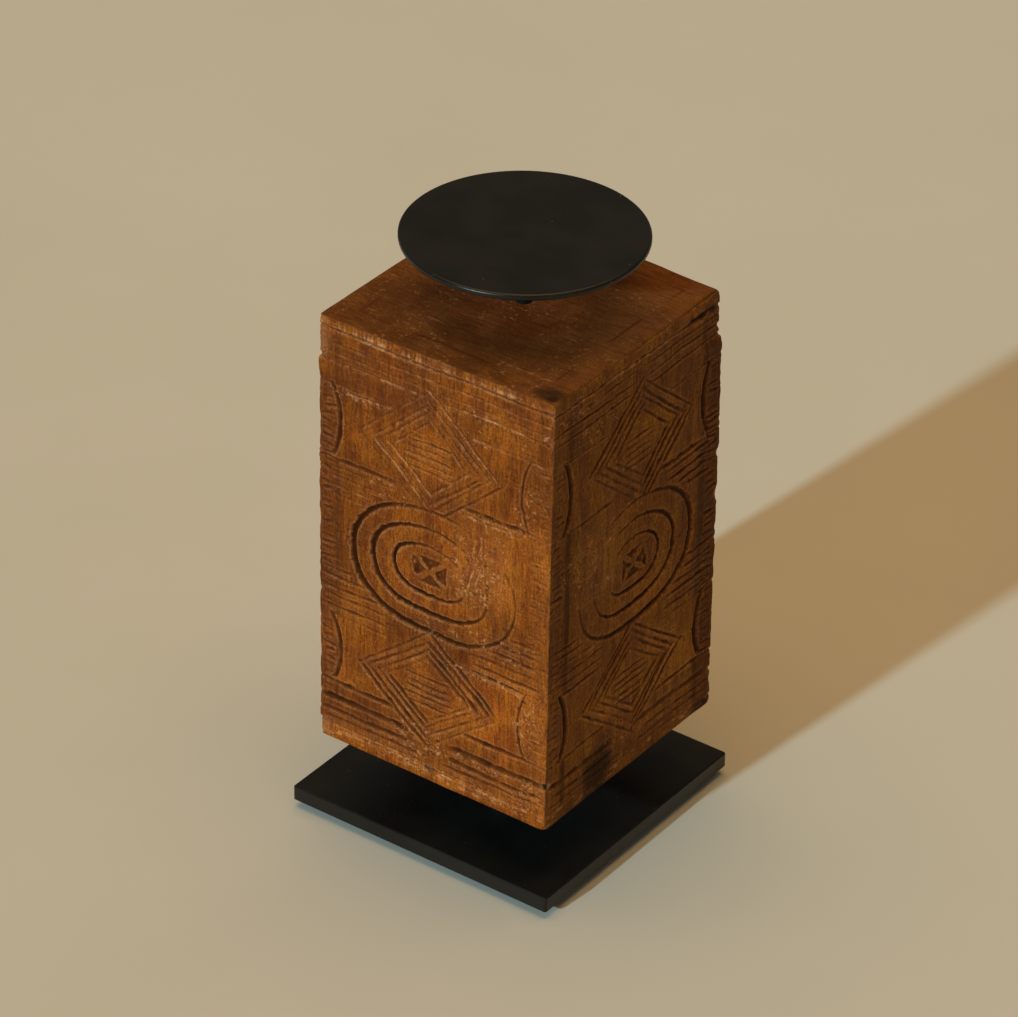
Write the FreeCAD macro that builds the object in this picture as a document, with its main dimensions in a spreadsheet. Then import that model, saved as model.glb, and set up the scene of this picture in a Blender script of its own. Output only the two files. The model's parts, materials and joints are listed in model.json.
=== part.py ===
import FreeCAD, Part
import os

import Sketcher
from FreeCAD import Vector

# A carved hardwood block held off a square steel base plate by a riser, with a
# thin steel stem in its top that carries a round steel rest plate.
# Millimetres.  +Z is up; the origin is on the floor, below the centre of the plate.

OUTPUT_FOLDER = "parts"
SHEET_NAME = "sizes"

DRIVING_SIZES = [
    # name, value in mm (or a plain number), meaning
    ("foot_diameter", 12.7, "rubber bumper foot, across"),
    ("foot_height", 3.5, "rubber bumper foot, tall"),
    ("foot_edge_radius", 1.2, "rounding at the foot's lower edge"),
    ("foot_inset", 13.0, "foot centre, in from the plate's two edges"),
    ("plate_width", 132.0, "square base plate, side"),
    ("plate_thickness", 7.25, "base plate, thick"),
    ("plate_corner_radius", 1.2, "base plate, upright edges"),
    ("plate_edge_bevel", 0.5, "base plate, bevel of the top and bottom rims"),
    ("bolt_diameter", 8.0, "countersunk bolt through the base plate"),
    ("bolt_clearance", 8.6, "hole for that bolt in the base plate"),
    ("bolt_head_diameter", 16.0, "countersunk head, across its flat"),
    ("bolt_head_height", 4.0, "countersunk head, tall"),
    ("bolt_countersink", 17.0, "mouth of the countersink in the base plate"),
    ("bolt_length", 23.0, "bolt, overall"),
    ("bolt_socket_flats", 5.0, "hexagon socket in the bolt head, across flats"),
    ("bolt_socket_depth", 2.4, "hexagon socket in the bolt head, deep"),
    ("post_diameter", 30.0, "riser post between the plate and the block"),
    ("post_height", 23.25, "riser post, tall"),
    ("post_hole_depth", 20.0, "tapped hole up into the riser post"),
    ("flange_diameter", 70.0, "round flange welded on top of the riser post"),
    ("flange_thickness", 3.0, "round flange, thick"),
    ("flange_edge_radius", 0.8, "round flange, rounding of its lower rim"),
    ("screw_circle", 52.0, "pitch circle of the wood screws in the flange"),
    ("screw_diameter", 4.0, "wood screw, shank"),
    ("screw_head_diameter", 8.0, "wood screw, countersunk head"),
    ("screw_head_height", 2.0, "wood screw, head tall"),
    ("screw_length", 30.0, "wood screw, overall"),
    ("block_width", 116.8, "carved block, square side"),
    ("block_height", 204.5, "carved block, tall"),
    ("block_edge_radius", 1.6, "carved block, upright edges"),
    ("block_rim_bevel", 0.8, "carved block, top and bottom rims"),
    ("stem_diameter", 6.0, "steel stem in the top of the block"),
    ("stem_sink", 45.0, "stem, length driven into the block"),
    ("stem_offset_x", 1.1, "stem, how far towards +X it stands off the block's middle"),
    ("stem_offset_y", 0.8, "stem, how far towards +Y it stands off the block's middle"),
    ("neck_height", 29.0, "block top to the underside of the rest plate"),
    ("stem_end_bevel", 0.8, "stem, bevel at both ends"),
    ("nut_flats", 10.0, "jam nut, across flats"),
    ("nut_height", 3.2, "jam nut, tall"),
    ("nut_bevel", 0.5, "jam nut, bevel of the six corners"),
    ("hub_diameter", 22.0, "hub welded under the rest plate"),
    ("hub_height", 7.0, "hub, tall"),
    ("hub_edge_bevel", 1.0, "hub, lower rim"),
    ("disc_diameter", 101.6, "round rest plate"),
    ("disc_thickness", 2.8, "round rest plate, thick"),
    ("disc_edge_radius", 1.1, "round rest plate, rounding of its rim"),
    # carving, the same on all four faces; heights are above the block's bottom
    ("line_width", 1.0, "cut line"),
    ("line_depth", 1.0, "cut line, deep"),
    ("lip_height", 199.6, "line that parts the thin lip at the top"),
    ("upper_band", 194.6, "topmost of the lines across the upper band"),
    ("upper_band_pitch", 4.9, "spacing of the upper band lines"),
    ("lower_band", 22.5, "topmost of the lines across the lower band"),
    ("lower_band_pitch", 3.9, "spacing of the lower band lines"),
    ("upper_diamond", 159.5, "centre of the upper nested diamonds"),
    ("lower_diamond", 46.0, "centre of the lower nested diamonds"),
    ("diamond_inner", 20.0, "innermost diamond, half its width"),
    ("diamond_pitch", 5.2, "step from one diamond to the next, in half width"),
    ("diamond_slope", 0.8, "diamond's height over its width"),
    ("diamond_line", 0.8, "cut line of a diamond, half its width along X"),
    ("oval_centre", 103.7, "centre of the three ovals"),
    ("oval_inner_width", 18.0, "innermost oval, half its width"),
    ("oval_inner_height", 11.5, "innermost oval, half its height"),
    ("oval_width_pitch", 11.2, "step in half width to the next oval"),
    ("oval_height_pitch", 8.6, "step in half height to the next oval"),
    ("oval_line", 1.0, "cut groove of an oval, half its width"),
    ("oval_depth", 1.8, "cut groove of an oval, deep"),
    ("cross_half_width", 8.0, "cross motif in the innermost oval"),
    ("cross_half_height", 6.2, "cross motif in the innermost oval"),
    ("cross_bar", 1.3, "half of the uncut bar of the cross"),
    ("side_panel_depth", 0.8, "sunk side panels with an arched edge, deep"),
    ("side_panel_half", 16.5, "sunk side panel, half its height"),
    ("side_panel_reach", 12.5, "sunk side panel, reach in from the block's edge"),
    ("side_panel_arch", 38.0, "radius of its arched edge"),
]

DIAMONDS_PER_NEST = 4
OVAL_COUNT = 3
UPPER_BAND_LINES = 3
LOWER_BAND_LINES = 4
FACES_OF_BLOCK = 4
SCREWS_IN_FLANGE = 4

doc = FreeCAD.newDocument("carved_block_stand")
sheet = doc.addObject("Spreadsheet::Sheet", SHEET_NAME)
subparts = []


def fill_sheet():
    """One row for each driving size: its meaning, its value, and its alias."""
    for row, (alias, value, meaning) in enumerate(DRIVING_SIZES, start=1):
        sheet.set(f"A{row}", meaning)
        sheet.set(f"B{row}", str(value))
        sheet.setAlias(f"B{row}", alias)
    doc.recompute()


def value_of(expression):
    """The number that an expression on the sheet's cells stands for."""
    return float(sheet.evalExpression(expression))


def cell(alias):
    return f"{SHEET_NAME}.{alias}"


# ---------------------------------------------------------------- sketch helpers

def origin_feature(body, role):
    for feature in body.Origin.OriginFeatures:
        if feature.Role == role:
            return feature
    raise ValueError(role)


def new_body(label, height=None, on_stem=False):
    """A body whose own z = 0 stands at the given height; on_stem puts it over the stem."""
    body = doc.addObject("PartDesign::Body", label)
    body.Label = label
    if height:
        body.setExpression("Placement.Base.z", height)
    if on_stem:
        body.setExpression("Placement.Base.x", cell("stem_offset_x"))
        body.setExpression("Placement.Base.y", cell("stem_offset_y"))
    subparts.append(body)
    return body


def new_sketch(body, name, plane="XY_Plane", offset=None):
    sketch = body.newObject("Sketcher::SketchObject", name)
    sketch.AttachmentSupport = [(origin_feature(body, plane), "")]
    sketch.MapMode = "FlatFace"
    if offset:
        sketch.setExpression("AttachmentOffset.Base.z", offset)
    return sketch


def bind_datum(sketch, kind, first, second, expression, name):
    """A driving distance, held by an expression; the datum itself is never negative."""
    value = value_of(expression)
    if value < 0:
        first, second = second, first
        expression = f"-({expression})"
        value = -value
    index = sketch.addConstraint(Sketcher.Constraint(kind, *first, *second, value))
    sketch.renameConstraint(index, name)
    sketch.setExpression(f"Constraints.{name}", expression)


def place_point(sketch, name, point, x_text, y_text):
    """Holds one point of the sketch at (x, y) measured from the sketch's origin."""
    origin = (-1, 1)
    if abs(value_of(x_text)) < 1e-9:
        sketch.addConstraint(Sketcher.Constraint("PointOnObject", *point, -2))
    else:
        bind_datum(sketch, "DistanceX", origin, point, x_text, f"{name}_x")
    if abs(value_of(y_text)) < 1e-9:
        sketch.addConstraint(Sketcher.Constraint("PointOnObject", *point, -1))
    else:
        bind_datum(sketch, "DistanceY", origin, point, y_text, f"{name}_y")


def add_polygon(sketch, name, corners):
    """A closed outline through corners, each a pair of expressions."""
    points = [Vector(value_of(x), value_of(y), 0) for x, y in corners]
    lines = []
    for start, end in zip(points, points[1:] + points[:1]):
        lines.append(sketch.addGeometry(Part.LineSegment(start, end), False))
    for line, following in zip(lines, lines[1:] + lines[:1]):
        sketch.addConstraint(Sketcher.Constraint("Coincident", line, 2, following, 1))
    for number, (line, (x_text, y_text)) in enumerate(zip(lines, corners)):
        place_point(sketch, f"{name}_{number}", (line, 1), x_text, y_text)


def add_rectangle(sketch, name, half_width, low, high):
    left = f"-({half_width})"
    add_polygon(sketch, name, [(left, low), (half_width, low), (half_width, high), (left, high)])


def add_diamond(sketch, name, half_width, centre):
    rise = f"({half_width}) * {cell('diamond_slope')}"
    corners = [
        (half_width, centre),
        ("0", f"{centre} + {rise}"),
        (f"-({half_width})", centre),
        ("0", f"{centre} - {rise}"),
    ]
    add_polygon(sketch, name, corners)


def add_hexagon(sketch, name, flats):
    """Two of the six flats lie along X."""
    corner = f"{flats} / sqrt(3)"
    side = f"{flats} / 2"
    add_polygon(sketch, name, [
        (corner, "0"),
        (f"{corner} / 2", side),
        (f"-{corner} / 2", side),
        (f"-{corner}", "0"),
        (f"-{corner} / 2", f"-{side}"),
        (f"{corner} / 2", f"-{side}"),
    ])


def add_circle(sketch, name, diameter, x_text="0", y_text="0"):
    centre = Vector(value_of(x_text), value_of(y_text), 0)
    radius = value_of(diameter) / 2
    circle = sketch.addGeometry(Part.Circle(centre, Vector(0, 0, 1), radius), False)
    place_point(sketch, name, (circle, 3), x_text, y_text)
    index = sketch.addConstraint(Sketcher.Constraint("Diameter", circle, 2 * radius))
    sketch.renameConstraint(index, f"{name}_across")
    sketch.setExpression(f"Constraints.{name}_across", diameter)


def add_oval(sketch, name, half_width, half_height, centre):
    """An ellipse with its long axis level, held by its two diameters."""
    middle = Vector(0, value_of(centre), 0)
    long_end = middle + Vector(value_of(half_width), 0, 0)
    short_end = middle + Vector(0, value_of(half_height), 0)
    oval = sketch.addGeometry(Part.Ellipse(long_end, short_end, middle), False)
    sketch.exposeInternalGeometry(oval)
    place_point(sketch, name, (oval, 3), "0", centre)
    long_axis, short_axis = oval + 1, oval + 2
    sketch.addConstraint(Sketcher.Constraint("Horizontal", long_axis))
    for axis, half, word in ((long_axis, half_width, "wide"), (short_axis, half_height, "tall")):
        length = 2 * value_of(half)
        index = sketch.addConstraint(Sketcher.Constraint("Distance", axis, length))
        sketch.renameConstraint(index, f"{name}_{word}")
        sketch.setExpression(f"Constraints.{name}_{word}", f"2 * ({half})")


# --------------------------------------------------------------- feature helpers

def pad(body, sketch, length):
    feature = body.newObject("PartDesign::Pad", f"{sketch.Name}_pad")
    feature.Profile = sketch
    feature.setExpression("Length", length)
    sketch.Visibility = False
    doc.recompute()
    return feature


def pocket(body, sketch, depth, through=False, reverse=False):
    """Cuts the sketch's outlines, and stops if nothing was removed."""
    volume_before = body.Shape.Volume
    feature = body.newObject("PartDesign::Pocket", f"{sketch.Name}_pocket")
    feature.Profile = sketch
    feature.Reversed = reverse
    if through:
        feature.Type = "ThroughAll"
    else:
        feature.setExpression("Length", depth)
    sketch.Visibility = False
    doc.recompute()
    if body.Shape.Volume > volume_before - 1e-3:
        raise RuntimeError(f"{feature.Name} removed nothing")
    return feature


def round_pad(body, name, diameter, length):
    sketch = new_sketch(body, name)
    add_circle(sketch, "rim", diameter)
    return pad(body, sketch, length)


def edges_where(shape, wanted):
    names = []
    for number, edge in enumerate(shape.Edges, start=1):
        if wanted(edge):
            names.append(f"Edge{number}")
    return names


def dress_up(body, kind, base, wanted, size_property, size):
    """A fillet or a chamfer on the base feature's edges that pass a test."""
    feature = body.newObject(f"PartDesign::{kind}", f"{body.Name}_{kind.lower()}")
    feature.Base = (base, edges_where(base.Shape, wanted))
    feature.setExpression(size_property, size)
    doc.recompute()
    return feature


def at_level(level):
    def test(edge):
        box = edge.BoundBox
        return abs(box.ZMin - level) < 1e-4 and abs(box.ZMax - level) < 1e-4
    return test


def upright(edge):
    box = edge.BoundBox
    return box.ZLength > 1.0 and box.XLength < 1e-4 and box.YLength < 1e-4


def polar_pattern(body, features, count, name):
    """Repeats features evenly about the body's own Z axis."""
    pattern = body.newObject("PartDesign::PolarPattern", name)
    pattern.Originals = features
    pattern.Axis = (origin_feature(body, "Z_Axis"), [""])
    pattern.Angle = 360
    pattern.Occurrences = count
    body.Tip = pattern
    doc.recompute()
    return pattern


# ------------------------------------------------------------------ heights

PLATE_BOTTOM = cell("foot_height")
PLATE_TOP = f"({PLATE_BOTTOM} + {cell('plate_thickness')})"
FLANGE_BOTTOM = f"({PLATE_TOP} + {cell('post_height')})"
BLOCK_BOTTOM = f"({FLANGE_BOTTOM} + {cell('flange_thickness')})"
BLOCK_TOP = f"({BLOCK_BOTTOM} + {cell('block_height')})"
DISC_BOTTOM = f"({BLOCK_TOP} + {cell('neck_height')})"
HUB_BOTTOM = f"({DISC_BOTTOM} - {cell('hub_height')})"
NUT_BOTTOM = f"({HUB_BOTTOM} - {cell('nut_height')})"
STEM_BOTTOM = f"({BLOCK_TOP} - {cell('stem_sink')})"


# ------------------------------------------------------------------ sub-parts

def build_feet():
    """Four round rubber bumpers, one under each corner of the plate."""
    reach = f"({cell('plate_width')} / 2 - {cell('foot_inset')})"
    corners = {
        "foot_front_left": ("-", "-"),
        "foot_front_right": ("", "-"),
        "foot_back_left": ("-", ""),
        "foot_back_right": ("", ""),
    }
    for label, (x_sign, y_sign) in corners.items():
        foot = new_body(label)
        foot.setExpression("Placement.Base.x", x_sign + reach)
        foot.setExpression("Placement.Base.y", y_sign + reach)
        disc = round_pad(foot, f"{label}_round", cell("foot_diameter"), cell("foot_height"))
        dress_up(foot, "Fillet", disc, at_level(0), "Radius", cell("foot_edge_radius"))


def build_base_plate():
    """Square steel plate with a countersunk bolt hole up through its centre."""
    plate = new_body("base_plate", PLATE_BOTTOM)
    outline = new_sketch(plate, "plate_outline")
    half = f"{cell('plate_width')} / 2"
    add_rectangle(outline, "side", half, f"-{half}", half)
    slab = pad(plate, outline, cell("plate_thickness"))
    rounded = dress_up(plate, "Fillet", slab, upright, "Radius", cell("plate_corner_radius"))
    thickness = value_of(cell("plate_thickness"))

    def rims(edge):
        return at_level(0)(edge) or at_level(thickness)(edge)

    dress_up(plate, "Chamfer", rounded, rims, "Size", cell("plate_edge_bevel"))
    centre = new_sketch(plate, "plate_hole_centre")
    add_circle(centre, "hole", cell("bolt_clearance"))
    doc.recompute()
    volume_before = plate.Shape.Volume
    hole = plate.newObject("PartDesign::Hole", "plate_hole")
    hole.Profile = centre
    hole.Reversed = True
    hole.DepthType = "ThroughAll"
    hole.setExpression("Diameter", cell("bolt_clearance"))
    hole.HoleCutType = "Countersink"
    hole.HoleCutCustomValues = True
    hole.setExpression("HoleCutDiameter", cell("bolt_countersink"))
    hole.HoleCutCountersinkAngle = 90
    centre.Visibility = False
    doc.recompute()
    if plate.Shape.Volume > volume_before - 1.0:
        raise RuntimeError("the bolt hole removed nothing")


def screw_shape(body, head_diameter, head_height, shank_diameter, length, x_offset=None):
    """A countersunk screw, head down: a cone and a shank on one upright line."""
    shank = body.newObject("PartDesign::AdditiveCylinder", f"{body.Name}_shank")
    shank.setExpression("Radius", f"{shank_diameter} / 2")
    shank.setExpression("Height", length)
    head = body.newObject("PartDesign::AdditiveCone", f"{body.Name}_head")
    head.setExpression("Radius1", f"{head_diameter} / 2")
    head.setExpression("Radius2", f"{shank_diameter} / 2")
    head.setExpression("Height", head_height)
    for solid in (shank, head):
        solid.AttachmentSupport = [(origin_feature(body, "XY_Plane"), "")]
        solid.MapMode = "FlatFace"
        if x_offset:
            solid.setExpression("AttachmentOffset.Base.x", x_offset)
    doc.recompute()
    return [shank, head]


def build_base_bolt():
    """Countersunk bolt from under the plate up into the riser post."""
    bolt = new_body("base_bolt", PLATE_BOTTOM)
    screw_shape(bolt, cell("bolt_head_diameter"), cell("bolt_head_height"),
                cell("bolt_diameter"), cell("bolt_length"))
    socket = new_sketch(bolt, "bolt_socket")
    add_hexagon(socket, "flat", cell("bolt_socket_flats"))
    pocket(bolt, socket, cell("bolt_socket_depth"), reverse=True)


def build_riser_post():
    """Short solid post, tapped from below."""
    post = new_body("riser_post", PLATE_TOP)
    round_pad(post, "post_round", cell("post_diameter"), cell("post_height"))
    tapped = new_sketch(post, "post_hole")
    add_circle(tapped, "hole", cell("bolt_diameter"))
    pocket(post, tapped, cell("post_hole_depth"), reverse=True)


def build_riser_flange():
    """Round flange on the post, with four countersunk screw holes from below."""
    flange = new_body("riser_flange", FLANGE_BOTTOM)
    disc = round_pad(flange, "flange_round", cell("flange_diameter"), cell("flange_thickness"))
    dress_up(flange, "Fillet", disc, at_level(0), "Radius", cell("flange_edge_radius"))
    offset = f"{cell('screw_circle')} / 2"
    volume_before = flange.Shape.Volume
    shank = flange.newObject("PartDesign::SubtractiveCylinder", "flange_shank_hole")
    shank.setExpression("Radius", f"{cell('screw_diameter')} / 2")
    shank.setExpression("Height", cell("flange_thickness"))
    cone = flange.newObject("PartDesign::SubtractiveCone", "flange_head_hole")
    cone.setExpression("Radius1", f"{cell('screw_head_diameter')} / 2")
    cone.setExpression("Radius2", f"{cell('screw_diameter')} / 2")
    cone.setExpression("Height", cell("screw_head_height"))
    for hole in (shank, cone):
        hole.AttachmentSupport = [(origin_feature(flange, "XY_Plane"), "")]
        hole.MapMode = "FlatFace"
        hole.setExpression("AttachmentOffset.Base.x", offset)
    doc.recompute()
    polar_pattern(flange, [shank, cone], SCREWS_IN_FLANGE, "flange_holes")
    if flange.Shape.Volume > volume_before - 1.0:
        raise RuntimeError("the flange holes removed nothing")


def build_flange_screws():
    """Four wood screws through the flange into the block, as separate solids."""
    screws = new_body("flange_screws", FLANGE_BOTTOM)
    screws.AllowCompound = True
    offset = f"{cell('screw_circle')} / 2"
    parts = screw_shape(screws, cell("screw_head_diameter"), cell("screw_head_height"),
                        cell("screw_diameter"), cell("screw_length"), offset)
    polar_pattern(screws, parts, SCREWS_IN_FLANGE, "screw_ring")


def carve_bands(block):
    """Level lines across a face: the lip, the upper band and the lower band."""
    sketch = new_sketch(block, "bands", "XZ_Plane", f"{cell('block_width')} / 2")
    half = f"{cell('block_width')} / 2 + 1"
    levels = [cell("lip_height")]
    for number in range(UPPER_BAND_LINES):
        levels.append(f"({cell('upper_band')} - {number} * {cell('upper_band_pitch')})")
    for number in range(LOWER_BAND_LINES):
        levels.append(f"({cell('lower_band')} - {number} * {cell('lower_band_pitch')})")
    for number, level in enumerate(levels):
        low = f"{level} - {cell('line_width')} / 2"
        high = f"{level} + {cell('line_width')} / 2"
        add_rectangle(sketch, f"band_{number}", half, low, high)
    return pocket(block, sketch, cell("line_depth"))


def carve_diamonds(block):
    """Two nests of diamonds, one above and one below the ovals."""
    sketch = new_sketch(block, "diamonds", "XZ_Plane", f"{cell('block_width')} / 2")
    for nest in ("upper_diamond", "lower_diamond"):
        for number in range(DIAMONDS_PER_NEST):
            middle = f"{cell('diamond_inner')} + {number} * {cell('diamond_pitch')}"
            outer = f"{middle} + {cell('diamond_line')}"
            inner = f"{middle} - {cell('diamond_line')}"
            add_diamond(sketch, f"{nest}_{number}_out", outer, cell(nest))
            add_diamond(sketch, f"{nest}_{number}_in", inner, cell(nest))
    return pocket(block, sketch, cell("line_depth"))


def carve_ovals(block):
    """Three concentric oval grooves round the middle of a face."""
    sketch = new_sketch(block, "ovals", "XZ_Plane", f"{cell('block_width')} / 2")
    for number in range(OVAL_COUNT):
        wide = f"{cell('oval_inner_width')} + {number} * {cell('oval_width_pitch')}"
        tall = f"{cell('oval_inner_height')} + {number} * {cell('oval_height_pitch')}"
        for word, sign in (("out", "+"), ("in", "-")):
            half_width = f"{wide} {sign} {cell('oval_line')}"
            half_height = f"{tall} {sign} {cell('oval_line')}"
            add_oval(sketch, f"oval_{number}_{word}", half_width, half_height, cell("oval_centre"))
    return pocket(block, sketch, cell("oval_depth"))


def carve_cross(block):
    """Four sunk triangles that leave a standing cross in the innermost oval."""
    sketch = new_sketch(block, "cross", "XZ_Plane", f"{cell('block_width')} / 2")
    wide = cell("cross_half_width")
    tall = cell("cross_half_height")
    bar = cell("cross_bar")
    centre = cell("oval_centre")
    for name, sign in (("right", ""), ("left", "-")):
        add_polygon(sketch, f"cross_{name}", [
            (f"{sign}{bar}", centre),
            (f"{sign}{wide}", f"{centre} - {tall} + {bar}"),
            (f"{sign}{wide}", f"{centre} + {tall} - {bar}"),
        ])
    for name, sign in (("top", "+"), ("bottom", "-")):
        level = f"{centre} {sign} {tall}"
        add_polygon(sketch, f"cross_{name}", [
            ("0", f"{centre} {sign} {bar}"),
            (f"{wide} - 1.5 * {bar}", level),
            (f"-({wide} - 1.5 * {bar})", level),
        ])
    return pocket(block, sketch, cell("line_depth"))


def add_side_panel(sketch, name, side, centre):
    """A sunk panel at one edge of the face, with an arched edge towards the middle."""
    edge = f"{side} * ({cell('block_width')} / 2 + 1)"
    inset = f"{cell('side_panel_arch')} - {cell('side_panel_reach')}"
    arch_middle = f"{side} * ({cell('block_width')} / 2 + {inset})"
    low = f"{centre} - {cell('side_panel_half')}"
    high = f"{centre} + {cell('side_panel_half')}"
    radius = value_of(cell("side_panel_arch"))
    half = value_of(cell("side_panel_half"))
    run = (radius ** 2 - half ** 2) ** 0.5
    middle = Vector(value_of(arch_middle), value_of(centre), 0)
    sign = value_of(side)
    low_end = middle + Vector(-sign * run, -half, 0)
    high_end = middle + Vector(-sign * run, half, 0)
    crown = middle + Vector(-sign * radius, 0, 0)
    first, last = (high_end, low_end) if sign > 0 else (low_end, high_end)
    arch = sketch.addGeometry(Part.Arc(first, crown, last), False)
    low_point, high_point = ((arch, 2), (arch, 1)) if sign > 0 else ((arch, 1), (arch, 2))
    low_corner = Vector(value_of(edge), value_of(low), 0)
    high_corner = Vector(value_of(edge), value_of(high), 0)
    bottom = sketch.addGeometry(Part.LineSegment(low_end, low_corner), False)
    outside = sketch.addGeometry(Part.LineSegment(low_corner, high_corner), False)
    top = sketch.addGeometry(Part.LineSegment(high_corner, high_end), False)
    sketch.addConstraint(Sketcher.Constraint("Coincident", *low_point, bottom, 1))
    sketch.addConstraint(Sketcher.Constraint("Coincident", bottom, 2, outside, 1))
    sketch.addConstraint(Sketcher.Constraint("Coincident", outside, 2, top, 1))
    sketch.addConstraint(Sketcher.Constraint("Coincident", *high_point, top, 2))
    sketch.addConstraint(Sketcher.Constraint("Horizontal", bottom))
    sketch.addConstraint(Sketcher.Constraint("Horizontal", top))
    place_point(sketch, f"{name}_low", (outside, 1), edge, low)
    place_point(sketch, f"{name}_high", (outside, 2), edge, high)
    place_point(sketch, f"{name}_arch", (arch, 3), arch_middle, centre)
    index = sketch.addConstraint(Sketcher.Constraint("Radius", arch, radius))
    sketch.renameConstraint(index, f"{name}_radius")
    sketch.setExpression(f"Constraints.{name}_radius", cell("side_panel_arch"))


def carve_side_panels(block):
    sketch = new_sketch(block, "side_panels", "XZ_Plane", f"{cell('block_width')} / 2")
    for nest in ("upper_diamond", "lower_diamond"):
        for name, side in (("right", "1"), ("left", "-1")):
            add_side_panel(sketch, f"{nest}_{name}", side, cell(nest))
    return pocket(block, sketch, cell("side_panel_depth"))


def bore_block(block):
    """Screw holes up from below and the stem's hole down from the top."""
    screw_holes = new_sketch(block, "block_screw_holes")
    offset = f"{cell('screw_circle')} / 2"
    for name, x_text, y_text in (
        ("east", offset, "0"), ("west", f"-{offset}", "0"),
        ("north", "0", offset), ("south", "0", f"-{offset}"),
    ):
        add_circle(screw_holes, name, cell("screw_diameter"), x_text, y_text)
    depth = f"{cell('screw_length')} - {cell('flange_thickness')}"
    pocket(block, screw_holes, depth, reverse=True)
    stem_hole = new_sketch(block, "block_stem_hole", "XY_Plane", cell("block_height"))
    middle = (cell("stem_offset_x"), cell("stem_offset_y"))
    add_circle(stem_hole, "stem", cell("stem_diameter"), *middle)
    pocket(block, stem_hole, cell("stem_sink"))


def build_carved_block():
    """Square hardwood block, the same carving cut into each of its four faces."""
    block = new_body("carved_block", BLOCK_BOTTOM)
    outline = new_sketch(block, "block_outline")
    half = f"{cell('block_width')} / 2"
    add_rectangle(outline, "side", half, f"-{half}", half)
    blank = pad(block, outline, cell("block_height"))
    rounded = dress_up(block, "Fillet", blank, upright, "Radius", cell("block_edge_radius"))
    height = value_of(cell("block_height"))

    def rims(edge):
        return at_level(0)(edge) or at_level(height)(edge)

    dress_up(block, "Chamfer", rounded, rims, "Size", cell("block_rim_bevel"))
    carvings = [
        carve_bands(block),
        carve_side_panels(block),
        carve_diamonds(block),
        carve_ovals(block),
        carve_cross(block),
    ]
    polar_pattern(block, carvings, FACES_OF_BLOCK, "four_faces")
    bore_block(block)


def build_stem():
    """Steel rod, its lower end driven into the block and its upper end in the hub."""
    stem = new_body("stem_rod", STEM_BOTTOM, on_stem=True)
    length = f"{cell('stem_sink')} + {cell('neck_height')}"
    rod = round_pad(stem, "stem_round", cell("stem_diameter"), length)
    top = value_of(length)

    def ends(edge):
        return at_level(0)(edge) or at_level(top)(edge)

    dress_up(stem, "Chamfer", rod, ends, "Size", cell("stem_end_bevel"))


def build_jam_nut():
    """Thin hexagon nut on the stem, tightened up against the hub."""
    nut = new_body("jam_nut", NUT_BOTTOM, on_stem=True)
    outline = new_sketch(nut, "nut_outline")
    add_hexagon(outline, "flat", cell("nut_flats"))
    add_circle(outline, "thread", cell("stem_diameter"))
    pad(nut, outline, cell("nut_height"))
    bevels = new_sketch(nut, "nut_bevels", "XZ_Plane")
    corner = f"({cell('nut_flats')} / sqrt(3))"
    inner = f"{corner} - 2 * {cell('nut_bevel')}"
    outer = f"{corner} + {cell('nut_bevel')}"
    top = cell("nut_height")
    bevel = cell("nut_bevel")
    add_polygon(bevels, "lower", [(inner, "0"), (outer, "0"), (outer, f"1.5 * {bevel}")])
    add_polygon(bevels, "upper", [(inner, top), (outer, top), (outer, f"{top} - 1.5 * {bevel}")])
    volume_before = nut.Shape.Volume
    groove = nut.newObject("PartDesign::Groove", "nut_bevel_cut")
    groove.Profile = bevels
    groove.ReferenceAxis = (bevels, ["V_Axis"])
    groove.Angle = 360
    bevels.Visibility = False
    doc.recompute()
    if nut.Shape.Volume > volume_before - 0.1:
        raise RuntimeError("the nut's bevels removed nothing")


def build_disc_hub():
    """Tapped hub welded to the middle of the rest plate's underside."""
    hub = new_body("disc_hub", HUB_BOTTOM, on_stem=True)
    boss = round_pad(hub, "hub_round", cell("hub_diameter"), cell("hub_height"))
    dress_up(hub, "Chamfer", boss, at_level(0), "Size", cell("hub_edge_bevel"))
    thread = new_sketch(hub, "hub_thread")
    add_circle(thread, "hole", cell("stem_diameter"))
    pocket(hub, thread, None, through=True, reverse=True)


def build_top_disc():
    """Round steel rest plate with a rounded rim."""
    disc = new_body("top_disc", DISC_BOTTOM, on_stem=True)
    slab = round_pad(disc, "disc_round", cell("disc_diameter"), cell("disc_thickness"))
    thickness = value_of(cell("disc_thickness"))

    def rims(edge):
        return at_level(0)(edge) or at_level(thickness)(edge)

    dress_up(disc, "Fillet", slab, rims, "Radius", cell("disc_edge_radius"))


# ------------------------------------------------------------------ checks, files

def check_document():
    for item in doc.Objects:
        faults = {"Invalid", "Error"} & set(item.State)
        if faults:
            raise RuntimeError(f"{item.Name}: {sorted(faults)}")


def write_subparts():
    os.makedirs(OUTPUT_FOLDER, exist_ok=True)
    for item in subparts:
        shape = item.Shape
        if shape.isNull() or not shape.isValid() or not shape.Solids:
            raise RuntimeError(f"{item.Label} has no valid solid")
    for item in subparts:
        item.Shape.exportStep(os.path.join(OUTPUT_FOLDER, f"{item.Label}.step"))
        box = item.Shape.BoundBox
        print(f"{item.Label:18s} solids {len(item.Shape.Solids)}  z {box.ZMin:8.3f} to {box.ZMax:8.3f}"
              f"  volume {item.Shape.Volume:12.1f}")


fill_sheet()
build_feet()
build_base_plate()
build_base_bolt()
build_riser_post()
build_riser_flange()
build_flange_screws()
build_carved_block()
build_stem()
build_jam_nut()
build_disc_hub()
build_top_disc()
doc.recompute()
check_document()
write_subparts()
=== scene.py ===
import json
import math

import bpy
import numpy as np
from mathutils import Matrix, Vector


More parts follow.
